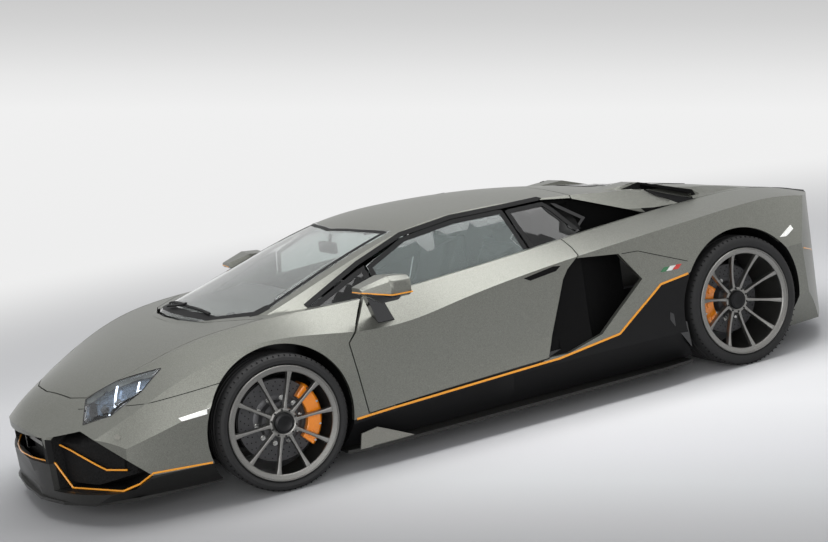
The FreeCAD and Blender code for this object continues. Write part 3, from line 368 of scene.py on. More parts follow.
def surface(*names):
    """The outer surface of some CAD nodes, to lay trim on."""
    shape = bmesh.new()
    for name in names:
        shape.from_mesh(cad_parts[name].data)
    tree = BVHTree.FromBMesh(shape)
    shape.free()
    return tree


def drop(tree, point, direction):
    """Where a line from a point first meets a surface, and the normal that faces the line."""
    direction = Vector(direction)
    hit, normal, _, _ = tree.ray_cast(Vector(point), direction)
    if hit is None:
        return None, None
    return hit, -normal if normal.dot(direction) > 0 else normal


def dense(points):
    """Points at most LAY_STEP apart along straight runs."""
    out = [Vector(points[0])]
    for a, b in zip(points, points[1:]):
        a, b = Vector(a), Vector(b)
        count = max(1, math.ceil((b - a).length / LAY_STEP))
        out += [a.lerp(b, i / count) for i in range(1, count + 1)]
    return out


def extruded(shape, faces, **options):
    """Extrudes faces of a bmesh and gives back the new vertices and the new faces."""
    made = bmesh.ops.extrude_face_region(shape, geom=faces, **options)["geom"]
    return ([item for item in made if isinstance(item, bmesh.types.BMVert)],
            [item for item in made if isinstance(item, bmesh.types.BMFace)])


def ribbon(name, tree, points, direction, width, material, body, thick=0.002, lift=0.0005):
    """A flat strip of one width dropped onto a surface, with a little thickness."""
    direction = Vector(direction).normalized()
    dropped = [drop(tree, point, direction) for point in dense(points)]
    laid = [(hit + normal * lift, normal) for hit, normal in dropped if hit is not None]
    if len(laid) < 2:
        raise RuntimeError("the strip %s found no surface" % name)
    shape = bmesh.new()
    # The strip grows ring by ring, and each new corner goes where its old one went.
    face = last = None
    for index, (place, normal) in enumerate(laid):
        along = laid[min(len(laid) - 1, index + 1)][0] - laid[max(0, index - 1)][0]
        across = along.normalized().cross(normal)
        if along.length < TINY or across.length < LEAST_ACROSS:
            continue
        across = across.normalized() * (width / 2)
        ring = [place - across, place + across, place + across + normal * thick,
                place - across + normal * thick]
        if face is None:
            face = shape.faces.new([shape.verts.new(spot) for spot in ring])
        else:
            verts, faces = extruded(shape, [face], use_keep_orig=False)
            goals = [ring[min(range(4), key=lambda k: (last[k] - vert.co).length)]
                     for vert in verts]
            for vert, goal in zip(verts, goals):
                vert.co = goal
            face = faces[0]
        last = ring
    bmesh.ops.recalc_face_normals(shape, faces=shape.faces)
    finish_piece(name, shape, material, body, SMOOTH_CREASE)


def patch(name, tree, points, direction, material, body, thick=0.0015, lift=0.0012):
    """A flat shape laid on a surface along a direction, with a little thickness."""
    direction = Vector(direction).normalized()
    shape = bmesh.new()
    shape.faces.new([shape.verts.new(point) for point in points])
    bmesh.ops.triangulate(shape, faces=shape.faces)
    for _ in range(LAY_ROUNDS):
        wide = [edge for edge in shape.edges if edge.calc_length() > LAY_STEP]
        if not wide:
            break
        bmesh.ops.subdivide_edges(shape, edges=wide, cuts=1)
        bmesh.ops.triangulate(shape, faces=[face for face in shape.faces if len(face.verts) > 3])
    lost = []
    for vert in shape.verts:
        hit, normal = drop(tree, vert.co, direction)
        if hit is None:
            lost.append(vert)
        else:
            vert.co = hit + normal * lift
    bmesh.ops.delete(shape, geom=lost, context="VERTS")
    if not shape.faces:
        raise RuntimeError("the patch %s found no surface" % name)
    verts, _ = extruded(shape, shape.faces[:])
    bmesh.ops.translate(shape, vec=-direction * thick, verts=verts)
    bmesh.ops.recalc_face_normals(shape, faces=shape.faces)
    finish_piece(name, shape, material, body, CAST_CREASE)


def round_edges(shape, edges, size):
    """Rounds off some edges of a bmesh."""
    bmesh.ops.bevel(shape, geom=edges, offset=size, segments=2, profile=0.5, affect="EDGES",
                    material=-1)


def slab(shape, points, offset):
    """A flat plate with any outline and an offset for its thickness, added to a bmesh."""
    face = shape.faces.new([shape.verts.new(point) for point in points])
    verts, _ = extruded(shape, [face])
    bmesh.ops.translate(shape, vec=offset, verts=verts)
    bmesh.ops.recalc_face_normals(shape, faces=shape.faces)


def block(shape, centre, size, rounding):
    """A box with rounded edges, added to a bmesh."""
    matrix = Matrix.Translation(Vector(centre)) @ Matrix.Diagonal((*size, 1))
    made = bmesh.ops.create_cube(shape, size=1.0, matrix=matrix)
    round_edges(shape, list({e for v in made["verts"] for e in v.link_edges}), rounding)


def rod(shape, start, end, radius, sides=12, tip=None):
    """A round bar between two points, added to a bmesh. A tip's radius makes it a cone."""
    start, end = Vector(start), Vector(end)
    along = end - start
    turn = along.to_track_quat("Z", "Y").to_matrix().to_4x4()
    bmesh.ops.create_cone(shape, cap_ends=True, segments=sides, radius1=radius,
                          radius2=radius if tip is None else tip, depth=along.length,
                          matrix=Matrix.Translation((start + end) / 2) @ turn)


def lathe(profile, steps, matrix=None, angle=2 * math.pi, start=0.0):
    """Spins a closed outline of radius and height about Z."""
    shape = bmesh.new()
    turn = Matrix.Rotation(start, 4, "Z")
    verts = [shape.verts.new(turn @ Vector((r, 0, z))) for r, z in profile]
    edges = [shape.edges.new(pair) for pair in zip(verts, verts[1:] + verts[:1])]
    spin = dict(cent=(0, 0, 0), axis=(0, 0, 1), angle=angle, steps=steps)
    if abs(angle - 2 * math.pi) < TINY:
        bmesh.ops.spin(shape, geom=verts + edges, use_merge=True, **spin)
    else:
        bmesh.ops.spin(shape, geom=[shape.faces.new(verts)], **spin)
    bmesh.ops.remove_doubles(shape, verts=shape.verts, dist=TINY)
    bmesh.ops.recalc_face_normals(shape, faces=shape.faces)
    if matrix is not None:
        bmesh.ops.transform(shape, matrix=matrix, verts=shape.verts)
    return shape


def bar_piece(name, points, radius, material, body="car"):
    """A round bar along a broken line, with a ball at each bend."""
    shape = bmesh.new()
    for start, end in zip(points, points[1:]):
        rod(shape, start, end, radius, BAR_SIDES)
    for point in points[1:-1]:
        bmesh.ops.create_icosphere(shape, subdivisions=2, radius=radius,
                                   matrix=Matrix.Translation(Vector(point)))
    finish_piece(name, shape, material, body)


def plate_piece(name, points, offset, material):
    """A flat plate on the car with any outline and an offset for its thickness."""
    shape = bmesh.new()
    slab(shape, points, offset)
    finish_piece(name, shape, material, "car", CAST_CREASE)


def sided(points, sign):
    """Points of the car's left side, or their twins on the right."""
    return [(x, y * sign, z) for x, y, z in points]


def polar(radius, angle):
    """A place on a circle about the wheel's axis, as x and y."""
    return radius * math.cos(angle), radius * math.sin(angle)


def around(count, radius, first=0.0):
    """Places at even steps on a circle. The first is a share of a step round it."""
    return [polar(radius, 2 * math.pi * (i + first) / count) for i in range(count)]


# From where and which way a strip or patch is dropped onto the car's left side.
VIEWS = {"side": (lambda a, b: (a, 1.35, b), (0, -1, 0)),
         "top": (lambda a, b: (a, b, 1.6), (0, 0, -1)),
         "back": (lambda a, b: (-3.2, a, b), (1, 0, 0))}


def lay_pair(make, name, nodes, view, points, material, body="car", width=None, **facts):
    """Lays one strip or patch on the left and its twin on the right, for SIDE in a name."""
    lift_off, direction = VIEWS[view]
    for side, sign in SIDES:
        tree = surface(*[node.replace("SIDE", side) for node in nodes])
        spots = sided([lift_off(a, b) for a, b in points], sign)
        aim = (direction[0], direction[1] * sign, direction[2])
        rest = (width,) if width else ()
        make("%s_%s" % (name, side), tree, spots, aim, *rest, material,
             body.replace("SIDE", side), **facts)


# Seat padding: the remesh size, the room left for swelling and the furthest it may swell, in
# metres, then the cloth's pressure and the frames that it runs.
PAD_VOXEL = 0.014
PAD_ROOM = 0.016
PAD_LIMIT = 0.024
PAD_PRESSURE = 4.0
PAD_FRAMES = 20


def apply(piece, modifier):
    """Makes the piece active and applies one of its modifiers."""
    bpy.context.view_layer.objects.active = piece
    bpy.ops.object.modifier_apply(modifier=modifier.name)


def pad(piece):
    """Padding: cloth under pressure swells the upholstery from a slightly smaller shape."""
    shape = bmesh.new()
    shape.from_mesh(piece.data)
    bmesh.ops.recalc_face_normals(shape, faces=shape.faces)
    shape.normal_update()
    for vert in shape.verts:
        vert.co -= vert.normal * PAD_ROOM
    shape.to_mesh(piece.data)
    shape.free()
    for other in bpy.context.selected_objects:
        other.select_set(False)
    piece.select_set(True)
    remesh = piece.modifiers.new("remesh", "REMESH")
    remesh.mode = "VOXEL"
    remesh.voxel_size = PAD_VOXEL
    apply(piece, remesh)
    start = [vert.co.copy() for vert in piece.data.vertices]
    cloth = piece.modifiers.new("cloth", "CLOTH")
    cloth.settings.use_pressure = True
    cloth.settings.uniform_pressure_force = PAD_PRESSURE
    cloth.settings.effector_weights.gravity = 0.0
    cloth.settings.quality = 4
    scene = bpy.context.scene
    for frame_number in range(1, PAD_FRAMES + 1):
        scene.frame_set(frame_number)
    apply(piece, cloth)
    scene.frame_set(1)
    for vert, before in zip(piece.data.vertices, start):
        move = vert.co - before
        if move.length > PAD_LIMIT:
            vert.co = before + move.normalized() * PAD_LIMIT
    rounded = piece.modifiers.new("subdivision", "SUBSURF")
    rounded.levels = 1
    apply(piece, rounded)


# Wheels

# At each axle, in metres: its place, the tyre's radius and width, the rim's radius, the hub face's
# place across the wheel, the inner wall's place across the car, the disc's radius and its face's
# place across the wheel. Then the turn of the spokes and how far round the caliper reaches.
WHEELS = {"front": dict(axle=FRONT_AXLE, radius=0.3305, width=0.255, rim=0.278, face=0.234,
                        inner=0.735, disc=0.200, disc_front=0.147, turn=math.radians(2),
                        grip=math.radians(92)),
          "rear": dict(axle=REAR_AXLE, radius=0.3555, width=0.355, rim=0.291, face=0.279,
                       inner=0.645, disc=0.190, disc_front=0.192, turn=math.radians(-11),
                       grip=math.radians(76))}
CORNERS = [(end, side, sign) for end in WHEELS for side, sign in SIDES]
SPOKES = 10
HUB_BOLTS = 10
DISC_STUDS = 10
DRILL_ROWS = 3
DRILLS = 30
SIPES = 72
GROOVES = 4
FINE_STEPS = 128
DISC_STEPS = 96
HUB_STEPS = 64
CALIPER_STEPS = 18
HUB_RADIUS = 0.055
SPOKE_TIP_GAP = 0.020
SPOKE_BACK = 0.010
SPOKE_DEPTH = 0.030
SPOKE_THINNING = 0.008
SPOKE_DISH = 0.004
SPOKE_CUTS = 7


def wheel_matrix(end, sign):
    """From the wheel's own axes, with Z out of the car, to its corner."""
    facts = WHEELS[end]
    turn = Matrix.Rotation(math.radians(-90 * sign), 4, "X")
    return Matrix.Translation((facts["axle"], facts["inner"] * sign, facts["radius"])) @ turn


def fit(shape, corner, name, material, smooth=CAST_CREASE, nodes=(), body=None):
    """Moves a piece made about the wheel's axis out to its corner and finishes it."""
    end, side, sign = corner
    bmesh.ops.transform(shape, matrix=wheel_matrix(end, sign), verts=shape.verts)
    finish_piece(name, shape, material, body or "wheel_%s_%s" % (end, side), smooth, nodes)


def tyre_profile(facts):
    """The tyre's section: beads, bulging walls, shoulders and a grooved tread."""
    r, w, rim = facts["radius"], facts["width"], facts["rim"] + 0.0006
    wall = r - rim
    shoulder = [(rim, 0.012), (rim + wall * 0.15, 0.003), (rim + wall * 0.45, 0.0005),
                (rim + wall * 0.72, 0.006), (r - 0.008, 0.016), (r - 0.002, 0.026)]
    tread = []
    for i in range(GROOVES):
        middle = 0.03 + (w - 0.06) * (i + 1) / (GROOVES + 1)
        tread += [(r, middle - 0.006), (r - 0.006, middle - 0.004), (r - 0.006, middle + 0.004),
                  (r, middle + 0.006)]
    return shoulder + tread + [(a, w - b) for a, b in reversed(shoulder)]


def make_tyre(corner):
    """The rubber, and across both shoulders the sipes, drawn as near-black blocks: painted shade
    where the cuts would be.
    """
    end, side, _ = corner
    facts = WHEELS[end]
    name = "tyre_%s_%s" % (end, side)
    fit(lathe(tyre_profile(facts), FINE_STEPS), corner, name + "_rubber", "tyre", nodes=[name])
    # Near-black blocks sunk into the shoulders paint the shade of the sipes; the rubber is not cut.
    sipes = bmesh.new()
    for i in range(SIPES):
        for z in (0.021, facts["width"] - 0.021):
            matrix = Matrix.Rotation(2 * math.pi * i / SIPES, 4, "Z")
            matrix = matrix @ Matrix.Translation((facts["radius"] - 0.0065, 0, z))
            matrix = matrix @ Matrix.Diagonal((0.006, 0.004, 0.020, 1))
            bmesh.ops.create_cube(sipes, size=1.0, matrix=matrix)
    fit(sipes, corner, name + "_sipes", "dark", FLAT_FACES)


def spoke(facts, foot):
    """One straight spoke from the hub to the rim's lip, dished and flared at both ends."""
    inner, outer = HUB_RADIUS, facts["rim"] - SPOKE_TIP_GAP
    length = outer - inner
    shape = bmesh.new()
    matrix = Matrix.Translation(((inner + outer) / 2, 0, 0)) @ Matrix.Diagonal((length, 1, 1, 1))
    bmesh.ops.create_cube(shape, size=1.0, matrix=matrix)
    long = [e for e in shape.edges if abs(e.verts[0].co.x - e.verts[1].co.x) > length / 2]
    bmesh.ops.subdivide_edges(shape, edges=long, cuts=SPOKE_CUTS, use_grid_fill=True)
    front, back = facts["face"], facts["width"] - SPOKE_BACK
    for v in shape.verts:
        # How far out along the spoke, from 0 at the hub to 1 at the lip.
        t = min(1.0, max(0.0, (v.co.x - inner) / length))
        waist = max(0.0, math.sin(math.pi * min(1.0, t * 1.15)))
        half = foot / 2 * (1.25 - 0.45 * waist + 0.5 * max(0, t - 0.85) / 0.15)
        face_z = front + (back - front) * t ** 1.6 - SPOKE_DISH * math.sin(math.pi * t)
        outward = v.co.z > 0
        v.co.y = math.copysign(half * (0.72 if outward else 1.0), v.co.y)
        v.co.z = face_z if outward else face_z - (SPOKE_DEPTH - SPOKE_THINNING * t)
    shape.normal_update()
    round_edges(shape, [e for e in shape.edges if e.calc_face_angle(0) > 0.6], 0.002)
    return shape


def make_rim(corner, foot):
    """The wheel: barrel, straight spokes, hub, centre nut and bolts."""
    end, side, _ = corner
    facts = WHEELS[end]
    rim, w, face = facts["rim"], facts["width"], facts["face"]
    name = "rim_%s_%s" % (end, side)
    barrel = lathe([(rim - 0.009, 0.001), (rim, 0.001), (rim, w - 0.004), (rim - 0.003, w - 0.0005),
                    (rim - 0.007, w - 0.0005), (rim - 0.009, w - 0.005), (rim - 0.028, w - 0.009),
                    (rim - 0.032, w - 0.013), (rim - 0.032, w - 0.024), (rim - 0.016, w - 0.027),
                    (rim - 0.012, w - 0.045), (rim - 0.009, w - 0.06)], FINE_STEPS)
    fit(barrel, corner, name + "_barrel", "wheel", nodes=[name])
    spokes = bmesh.new()
    for i in range(SPOKES):
        one = spoke(facts, foot)
        bmesh.ops.rotate(one, cent=(0, 0, 0), verts=one.verts,
                         matrix=Matrix.Rotation(2 * math.pi * i / SPOKES + facts["turn"], 3, "Z"))
        scrap = bpy.data.meshes.new("spoke")
        one.to_mesh(scrap)
        one.free()
        spokes.from_mesh(scrap)
        bpy.data.meshes.remove(scrap)
    fit(spokes, corner, name + "_spokes", "wheel")
    hub = lathe([(0.0001, face - 0.042), (0.075, face - 0.042), (0.075, face - 0.010),
                 (0.070, face - 0.001), (0.060, face + 0.001), (0.054, face - 0.002),
                 (0.0001, face - 0.002)], HUB_STEPS)
    fit(hub, corner, name + "_hub", "wheel")
    cap = lathe([(0.0001, face - 0.0015), (0.051, face - 0.0015), (0.051, face + 0.006),
                 (0.047, face + 0.012), (0.036, face + 0.0155), (0.030, face + 0.0125),
                 (0.0001, face + 0.0125)], HUB_STEPS)
    fit(cap, corner, name + "_centre_nut", "hub")
    bolts = bmesh.new()
    for x, y in around(HUB_BOLTS, 0.064, 0.5):
        rod(bolts, (x, y, face - 0.004), (x, y, face + 0.004), 0.005, 6)
    fit(bolts, corner, name + "_bolts", "hub", FLAT_FACES)


def make_disc(corner):
    """The brake disc: a vented rotor on its bell with studs, and near-black spots on its face as
    painted shade for the drillings.
    """
    end, side, _ = corner
    front, radius = WHEELS[end]["disc_front"], WHEELS[end]["disc"]
    name = "disc_%s_%s" % (end, side)
    ring = lathe([(0.031, front - 0.034), (radius, front - 0.034), (radius, front - 0.022),
                  (radius - 0.012, front - 0.021), (radius - 0.012, front - 0.013),
                  (radius, front - 0.012), (radius - 0.0005, front), (0.125, front),
                  (0.120, front + 0.003), (0.100, front + 0.004), (0.094, front + 0.043),
                  (0.031, front + 0.043)], DISC_STEPS)
    fit(ring, corner, name + "_rotor", "disc", nodes=[name])
    # The drillings are not cut: near-black spots on the face paint the shade in the holes.
    hole_shade = bmesh.new()
    for row in range(DRILL_ROWS):
        for x, y in around(DRILLS, radius - 0.014 - 0.019 * row, row / DRILL_ROWS):
            rod(hole_shade, (x, y, front - 0.003), (x, y, front + 0.0003), 0.0034, 8)
    fit(hole_shade, corner, name + "_drilling_shade", "dark", FLAT_FACES)
    studs = bmesh.new()
    for x, y in around(DISC_STUDS, 0.111):
        rod(studs, (x, y, front), (x, y, front + 0.008), 0.0125, 20)
        rod(studs, (x, y, front + 0.008), (x, y, front + 0.014), 0.009, 6)
    fit(studs, corner, name + "_studs", "bright", FLAT_FACES)


def make_caliper(corner):
    """A caliper in two halves bridged over the disc, with piston caps and bolts."""
    end, side, _ = corner
    facts = WHEELS[end]
    middle = facts["disc_front"] - 0.017
    outer, inner = facts["disc"] + 0.013, facts["disc"] - 0.062
    half, chamfer = 0.064, 0.012
    slot_r, slot_z = facts["disc"] + 0.006, 0.023
    profile = [(inner, middle - half), (outer - 0.010, middle - half),
               (outer, middle - half + chamfer), (outer, middle + half - chamfer),
               (outer - 0.010, middle + half), (inner, middle + half), (inner, middle + slot_z),
               (slot_r, middle + slot_z), (slot_r, middle - slot_z), (inner, middle - slot_z)]
    span = facts["grip"]
    # The wheel's own X points forward on both sides, and the front caliper trails the axle.
    centre = math.pi if end == "front" else 0.0
    casting = lathe(profile, CALIPER_STEPS, angle=span, start=centre - span / 2)
    round_edges(casting, [e for e in casting.edges if e.calc_face_angle(0) > 0.8], 0.004)
    body = "steer_" + side if end == "front" else "car"
    name = "caliper_%s_%s" % (end, side)
    # Both rear calipers are one CAD node, which the left one replaces.
    nodes = {("front", side): ["caliper_front_" + side], ("rear", "left"): ["calipers_rear"]}
    fit(casting, corner, name + "_casting", "caliper", nodes=nodes.get((end, side), ()),
        body=body)
    caps = bmesh.new()
    for step in (-0.72, 0.0, 0.72):
        x, y = polar(inner + 0.032, centre + step * span / 2)
        rod(caps, (x, y, middle + half - 0.002), (x, y, middle + half + 0.004), 0.017, 24, 0.014)
    fit(caps, corner, name + "_piston_caps", "caliper", body=body)
    bolts = bmesh.new()
    for step in (-0.86, -0.35, 0.35, 0.86):
        x, y = polar(outer - 0.012, centre + step * span / 2)
        rod(bolts, (x, y, middle + half - 0.003), (x, y, middle + half + 0.003), 0.006, 6)
    fit(bolts, corner, name + "_bolts", "bright", FLAT_FACES, body=body)


# Settings

def size_setting(name, default, description):
    """A length from 1 mm to 100 mm that a user can change."""
    return bpy.props.FloatProperty(name=name, default=default, min=0.001, max=0.1, unit="LENGTH",
                                   description=description)


def colour_setting(name, default, description):
    """An sRGB hex colour that a user can change."""
    return bpy.props.StringProperty(name=name, default=default, description=description)


class LooksSettings(bpy.types.PropertyGroup):
    """Sizes and colours that a user would change; colours are sRGB hex codes."""

    spoke_width: size_setting("Spoke width", 0.021, "Width of a wheel spoke at its foot")
    stripe_width: size_setting("Stripe width", 0.011, "Width of the orange stripes")
    seal_width: size_setting("Seal width", 0.026, "Width of the black window seals")
    paint_low: colour_setting("Paint, dark flake", "#6d6e67", "Darker colour of the body paint")
    paint_high: colour_setting("Paint, light flake", "#868780", "Lighter colour of the body paint")
    stripe_colour: colour_setting("Stripe", "#f4a01c", "Colour of the stripes")
    caliper_colour: colour_setting("Caliper", "#ff9018", "Colour of the brake calipers")
    wheel_colour: colour_setting("Wheel", "#868582", "Colour of the wheels")
    leather_colour: colour_setting("Leather", "#121213", "Colour of the cabin leather")


# Operators, one for each group of like pieces

class SUPERCAR_OT_materials(bpy.types.Operator):
    """Make the materials"""

    bl_idname = "supercar.materials"
    bl_label = "Materials"

    def execute(self, context):
        make_materials(context.scene.supercar_looks)
        return {"FINISHED"}


# Where one panel changes its material: heights and distances from the car's middle.
INTAKE_TOP = 0.376
INTAKE_HALF_WIDTH = 0.47
SCOOP_SIDE = 0.468
SCOOP_RANGE = (-1.40, -1.0)
SILL_PAINT_TOP = 0.1155
DOOR_SKIN = 0.90
MIRROR_FOOT_TOP = 0.828
DUCT_SIDE = 0.6


class SUPERCAR_OT_body(bpy.types.Operator):
    """Dress the painted panels and the black mouldings"""

    bl_idname = "supercar.body"
    bl_label = "Body panels"

    def execute(self, context):
        dress(["roof", "front_fenders", "rear_fenders", "quarters"], "paint", "car")
        # Black round the middle intake.
        dress_two("front_bumper", ["paint", "black"],
                  lambda at, normal: at.z < INTAKE_TOP and abs(at.y) < INTAKE_HALF_WIDTH,
                  "car")
        dress(["front_lip", "splitter"], "lip", "car")
        # Near-black faces inside the bumper's shell, those that point up, down or forward: painted
        # shade in its hollows.
        dress_two("rear_bumper", ["paint", "dark"],
                  lambda at, normal: abs(normal.z) > 0.7 or normal.x > 0.5, "car")
        dress(["tail_panel", "diffuser"], "black", "car")
        # A black lining under each lid, and near-black walls in the engine lid's scoops: painted
        # shade inside the scoops.
        dress_two("front_lid", ["paint", "black"], lambda at, normal: normal.z < -0.3,
                  "front_lid")
        dress_two("engine_lid", ["paint", "dark"],
                  lambda at, normal: normal.z < -0.3 or (
                      abs(at.y) > SCOOP_SIDE and abs(normal.y) > 0.9
                      and SCOOP_RANGE[0] < at.x < SCOOP_RANGE[1]),
                  "engine_lid")
        # Dark grey paint underneath, black above.
        dress_two("sills", ["black", "lip"], lambda at, normal: at.z < SILL_PAINT_TOP, "car")
        for side, sign in SIDES:
            # A black lining on the door's inner face, and a gloss foot and underside on its mirror.
            dress_two("door_" + side, ["paint", "black"],
                      lambda at, normal, sign=sign: (normal.y * sign < -0.2
                                                     and abs(at.y) < DOOR_SKIN),
                      "door_" + side)
            dress_two("mirror_" + side, ["paint", "gloss"],
                      lambda at, normal: normal.z < -0.35 or at.z < MIRROR_FOOT_TOP,
                      "door_" + side, SHELL_CREASE, "_shell")
        return {"FINISHED"}


class SUPERCAR_OT_chassis(bpy.types.Operator):
    """Dress the tub, the linings, the running gear and the dashboard"""

    bl_idname = "supercar.chassis"
    bl_label = "Chassis"

    def execute(self, context):
        # Near black: the black plastic of the liners, ducts and undertray, darkened further as
        # painted shade.
        dress(["arch_liners", "side_ducts", "undertray"], "dark", "car")
        dress(["grille_linings"], "grille", "car")
        # Near black where the side ducts show it: painted shade inside the ducts.
        dress_two("tub", ["carbon", "dark"],
                  lambda at, normal: at.x < -0.2 and abs(at.y) > DUCT_SIDE, "car")
        dress(["exhaust_tips"], "exhaust", "car")
        dress(["engine_block", "uprights_rear"], "alloy", "car")
        dress(["suspension_arms", "rear_subframe"], "steel", "car")
        dress(["dashboard", "steering_wheel"], "leather", "car")
        for side, _ in SIDES:
            dress(["knuckle_front_" + side], "alloy", "steer_" + side)
        return {"FINISHED"}


class SUPERCAR_OT_glass(bpy.types.Operator):
    """Glaze the windows and lamps"""

    bl_idname = "supercar.glass"
    bl_label = "Glass"

    def execute(self, context):
        for name, material, slot in (("windscreen", "screen", "glass_screen"),
                                     ("side_windows", "quarter", "glass_screen"),
                                     ("headlamps", "lens", "lamp_glass"),
                                     ("tail_lamps", "red", "red_lamp")):
            dress([name], material, "car", SMOOTH_CREASE)
        for side, _ in SIDES:
            dress(["door_glass_" + side], "window", "door_" + side, SMOOTH_CREASE)
        return {"FINISHED"}


class SUPERCAR_OT_tyres(bpy.types.Operator):
    """Make the tyres"""

    bl_idname = "supercar.tyres"
    bl_label = "Tyres"

    def execute(self, context):
        for corner in CORNERS:
            make_tyre(corner)
        return {"FINISHED"}


class SUPERCAR_OT_rims(bpy.types.Operator):
    """Make the wheels' rims, spokes and hubs"""

    bl_idname = "supercar.rims"
    bl_label = "Rims"

    def execute(self, context):
        for corner in CORNERS:
            make_rim(corner, context.scene.supercar_looks.spoke_width)
        return {"FINISHED"}


class SUPERCAR_OT_brakes(bpy.types.Operator):
    """Make the brake discs and calipers"""

    bl_idname = "supercar.brakes"
    bl_label = "Brakes"

    def execute(self, context):
        for corner in CORNERS:
            make_disc(corner)
            make_caliper(corner)
        return {"FINISHED"}


class SUPERCAR_OT_seats(bpy.types.Operator):
    """Upholster the seats"""

    bl_idname = "supercar.seats"
    bl_label = "Seats"

    def execute(self, context):
        piece = finish_piece("seats_leather", copy_node("seats"), "leather", "car", SMOOTH_CREASE,
                             ["seats"])
        pad(piece)
        piece.data.shade_smooth()
        return {"FINISHED"}


# The raised stripes' lines on the car's left side.
MIRROR_STRIPE = [(0.652, 1.1305, 0.838), (0.756, 1.1225, 0.840), (0.889, 1.076, 0.872),
                 (0.892, 0.96, 0.868)]
NOSE_STRIPE = [(2.415, 0.0, 0.288), (2.413, 0.06, 0.288), (2.397, 0.20, 0.288),
               (2.337, 0.43, 0.288), (2.285, 0.492, 0.163), (2.202, 0.655, 0.166),
               (2.12, 0.820, 0.170), (2.044, 0.850, 0.191), (1.988, 0.911, 0.239),
               (1.853, 0.933, 0.234), (1.713, 0.945, 0.226)]
INTAKE_EDGE = [(2.302, 0.451, 0.373), (2.272, 0.522, 0.354), (2.236, 0.617, 0.325),
               (2.200, 0.687, 0.296), (2.163, 0.746, 0.269), (2.087, 0.834, 0.266)]


class SUPERCAR_OT_stripes(bpy.types.Operator):
    """Lay the orange stripes"""

    bl_idname = "supercar.stripes"
    bl_label = "Stripes"

    def execute(self, context):
        s = context.scene.supercar_looks
        side = ["sills", "quarters", "rear_fenders", "front_fenders"]
        lay_pair(ribbon, "side_stripe", side, "side",
                 [(0.985, 0.250), (-0.193, 0.291), (-0.557, 0.344), (-0.837, 0.554),
                  (-1.008, 0.579)], "stripe", width=s.stripe_width)
        lay_pair(ribbon, "tail_stripe", ["rear_bumper", "rear_fenders"], "side",
                 [(-1.82, 0.557), (-1.92, 0.528), (-2.0, 0.503)], "stripe", width=0.007)
        for side, sign in SIDES:
            bar_piece("mirror_stripe_" + side, sided(MIRROR_STRIPE, sign), 0.0035, "stripe",
                      "door_" + side)
            bar_piece("nose_stripe_" + side, sided(NOSE_STRIPE, sign), 0.0048, "stripe")
            bar_piece("intake_stripe_" + side, sided(INTAKE_EDGE, sign), 0.0045, "stripe")
        return {"FINISHED"}


# A shut line between two panels, drawn as a near-black strip: painted shade in the gap between
# them.
SEAM = dict(width=0.0035, thick=0.0006, lift=0.0002)


class SUPERCAR_OT_seams(bpy.types.Operator):
    """Draw the seams between panels"""

    bl_idname = "supercar.seams"
    bl_label = "Seams"

    def execute(self, context):
        lay_pair(ribbon, "bumper_seam", ["front_bumper", "front_fenders"], "side",
                 [(2.19, 0.5275), (1.946, 0.556), (1.62, 0.588)], "dark", **SEAM)
        lay_pair(ribbon, "fender_seam", ["quarters", "rear_fenders"], "side",
                 [(-0.60, 0.7575), (-0.737, 0.752), (-1.02, 0.643)], "dark", **SEAM)
        return {"FINISHED"}


class SUPERCAR_OT_seals(bpy.types.Operator):
    """Lay the black seals round the roof and the windows"""

    bl_idname = "supercar.seals"
    bl_label = "Seals"

    def execute(self, context):
        s = context.scene.supercar_looks
        border = dict(width=s.seal_width, thick=0.0008)
        lay_pair(ribbon, "roof_edge_seal", ["roof"], "side",
                 [(1.05, 0.812), (0.72, 0.957), (0.446, 1.050), (0.146, 1.084), (-0.167, 1.082),
                  (-0.42, 1.082)], "seal", width=s.seal_width, thick=0.003, lift=0.001)
        lay_pair(ribbon, "quarter_glass_border", ["side_windows"], "side",
                 [(1.04, 0.790), (0.705, 0.927), (0.684, 0.775)], "seal", **border)
        lay_pair(ribbon, "rear_quarter_border", ["side_windows"], "side",
                 [(-0.232, 0.84), (-0.190, 1.052), (-0.415, 1.052), (-0.450, 1.018),
                  (-0.535, 0.895)], "seal", **border)
        lay_pair(ribbon, "door_glass_border", ["door_glass_SIDE"], "side",
                 [(0.652, 0.80), (0.665, 0.930), (0.440, 1.026), (0.144, 1.061),
                  (-0.152, 1.060), (-0.187, 0.86)], "seal", "door_SIDE", **border)
        lay_pair(ribbon, "screen_top_border", ["windscreen"], "top",
                 [(0.595, 0.0), (0.545, 0.30), (0.487, 0.515), (1.20, 0.600)], "seal",
                 **border)
        lay_pair(ribbon, "screen_base_border", ["windscreen"], "top",
                 [(1.20, 0.600), (1.30, 0.585), (1.44, 0.425), (1.50, 0.20), (1.515, 0.0)],
                 "seal", width=0.05, thick=0.0008)
        return {"FINISHED"}


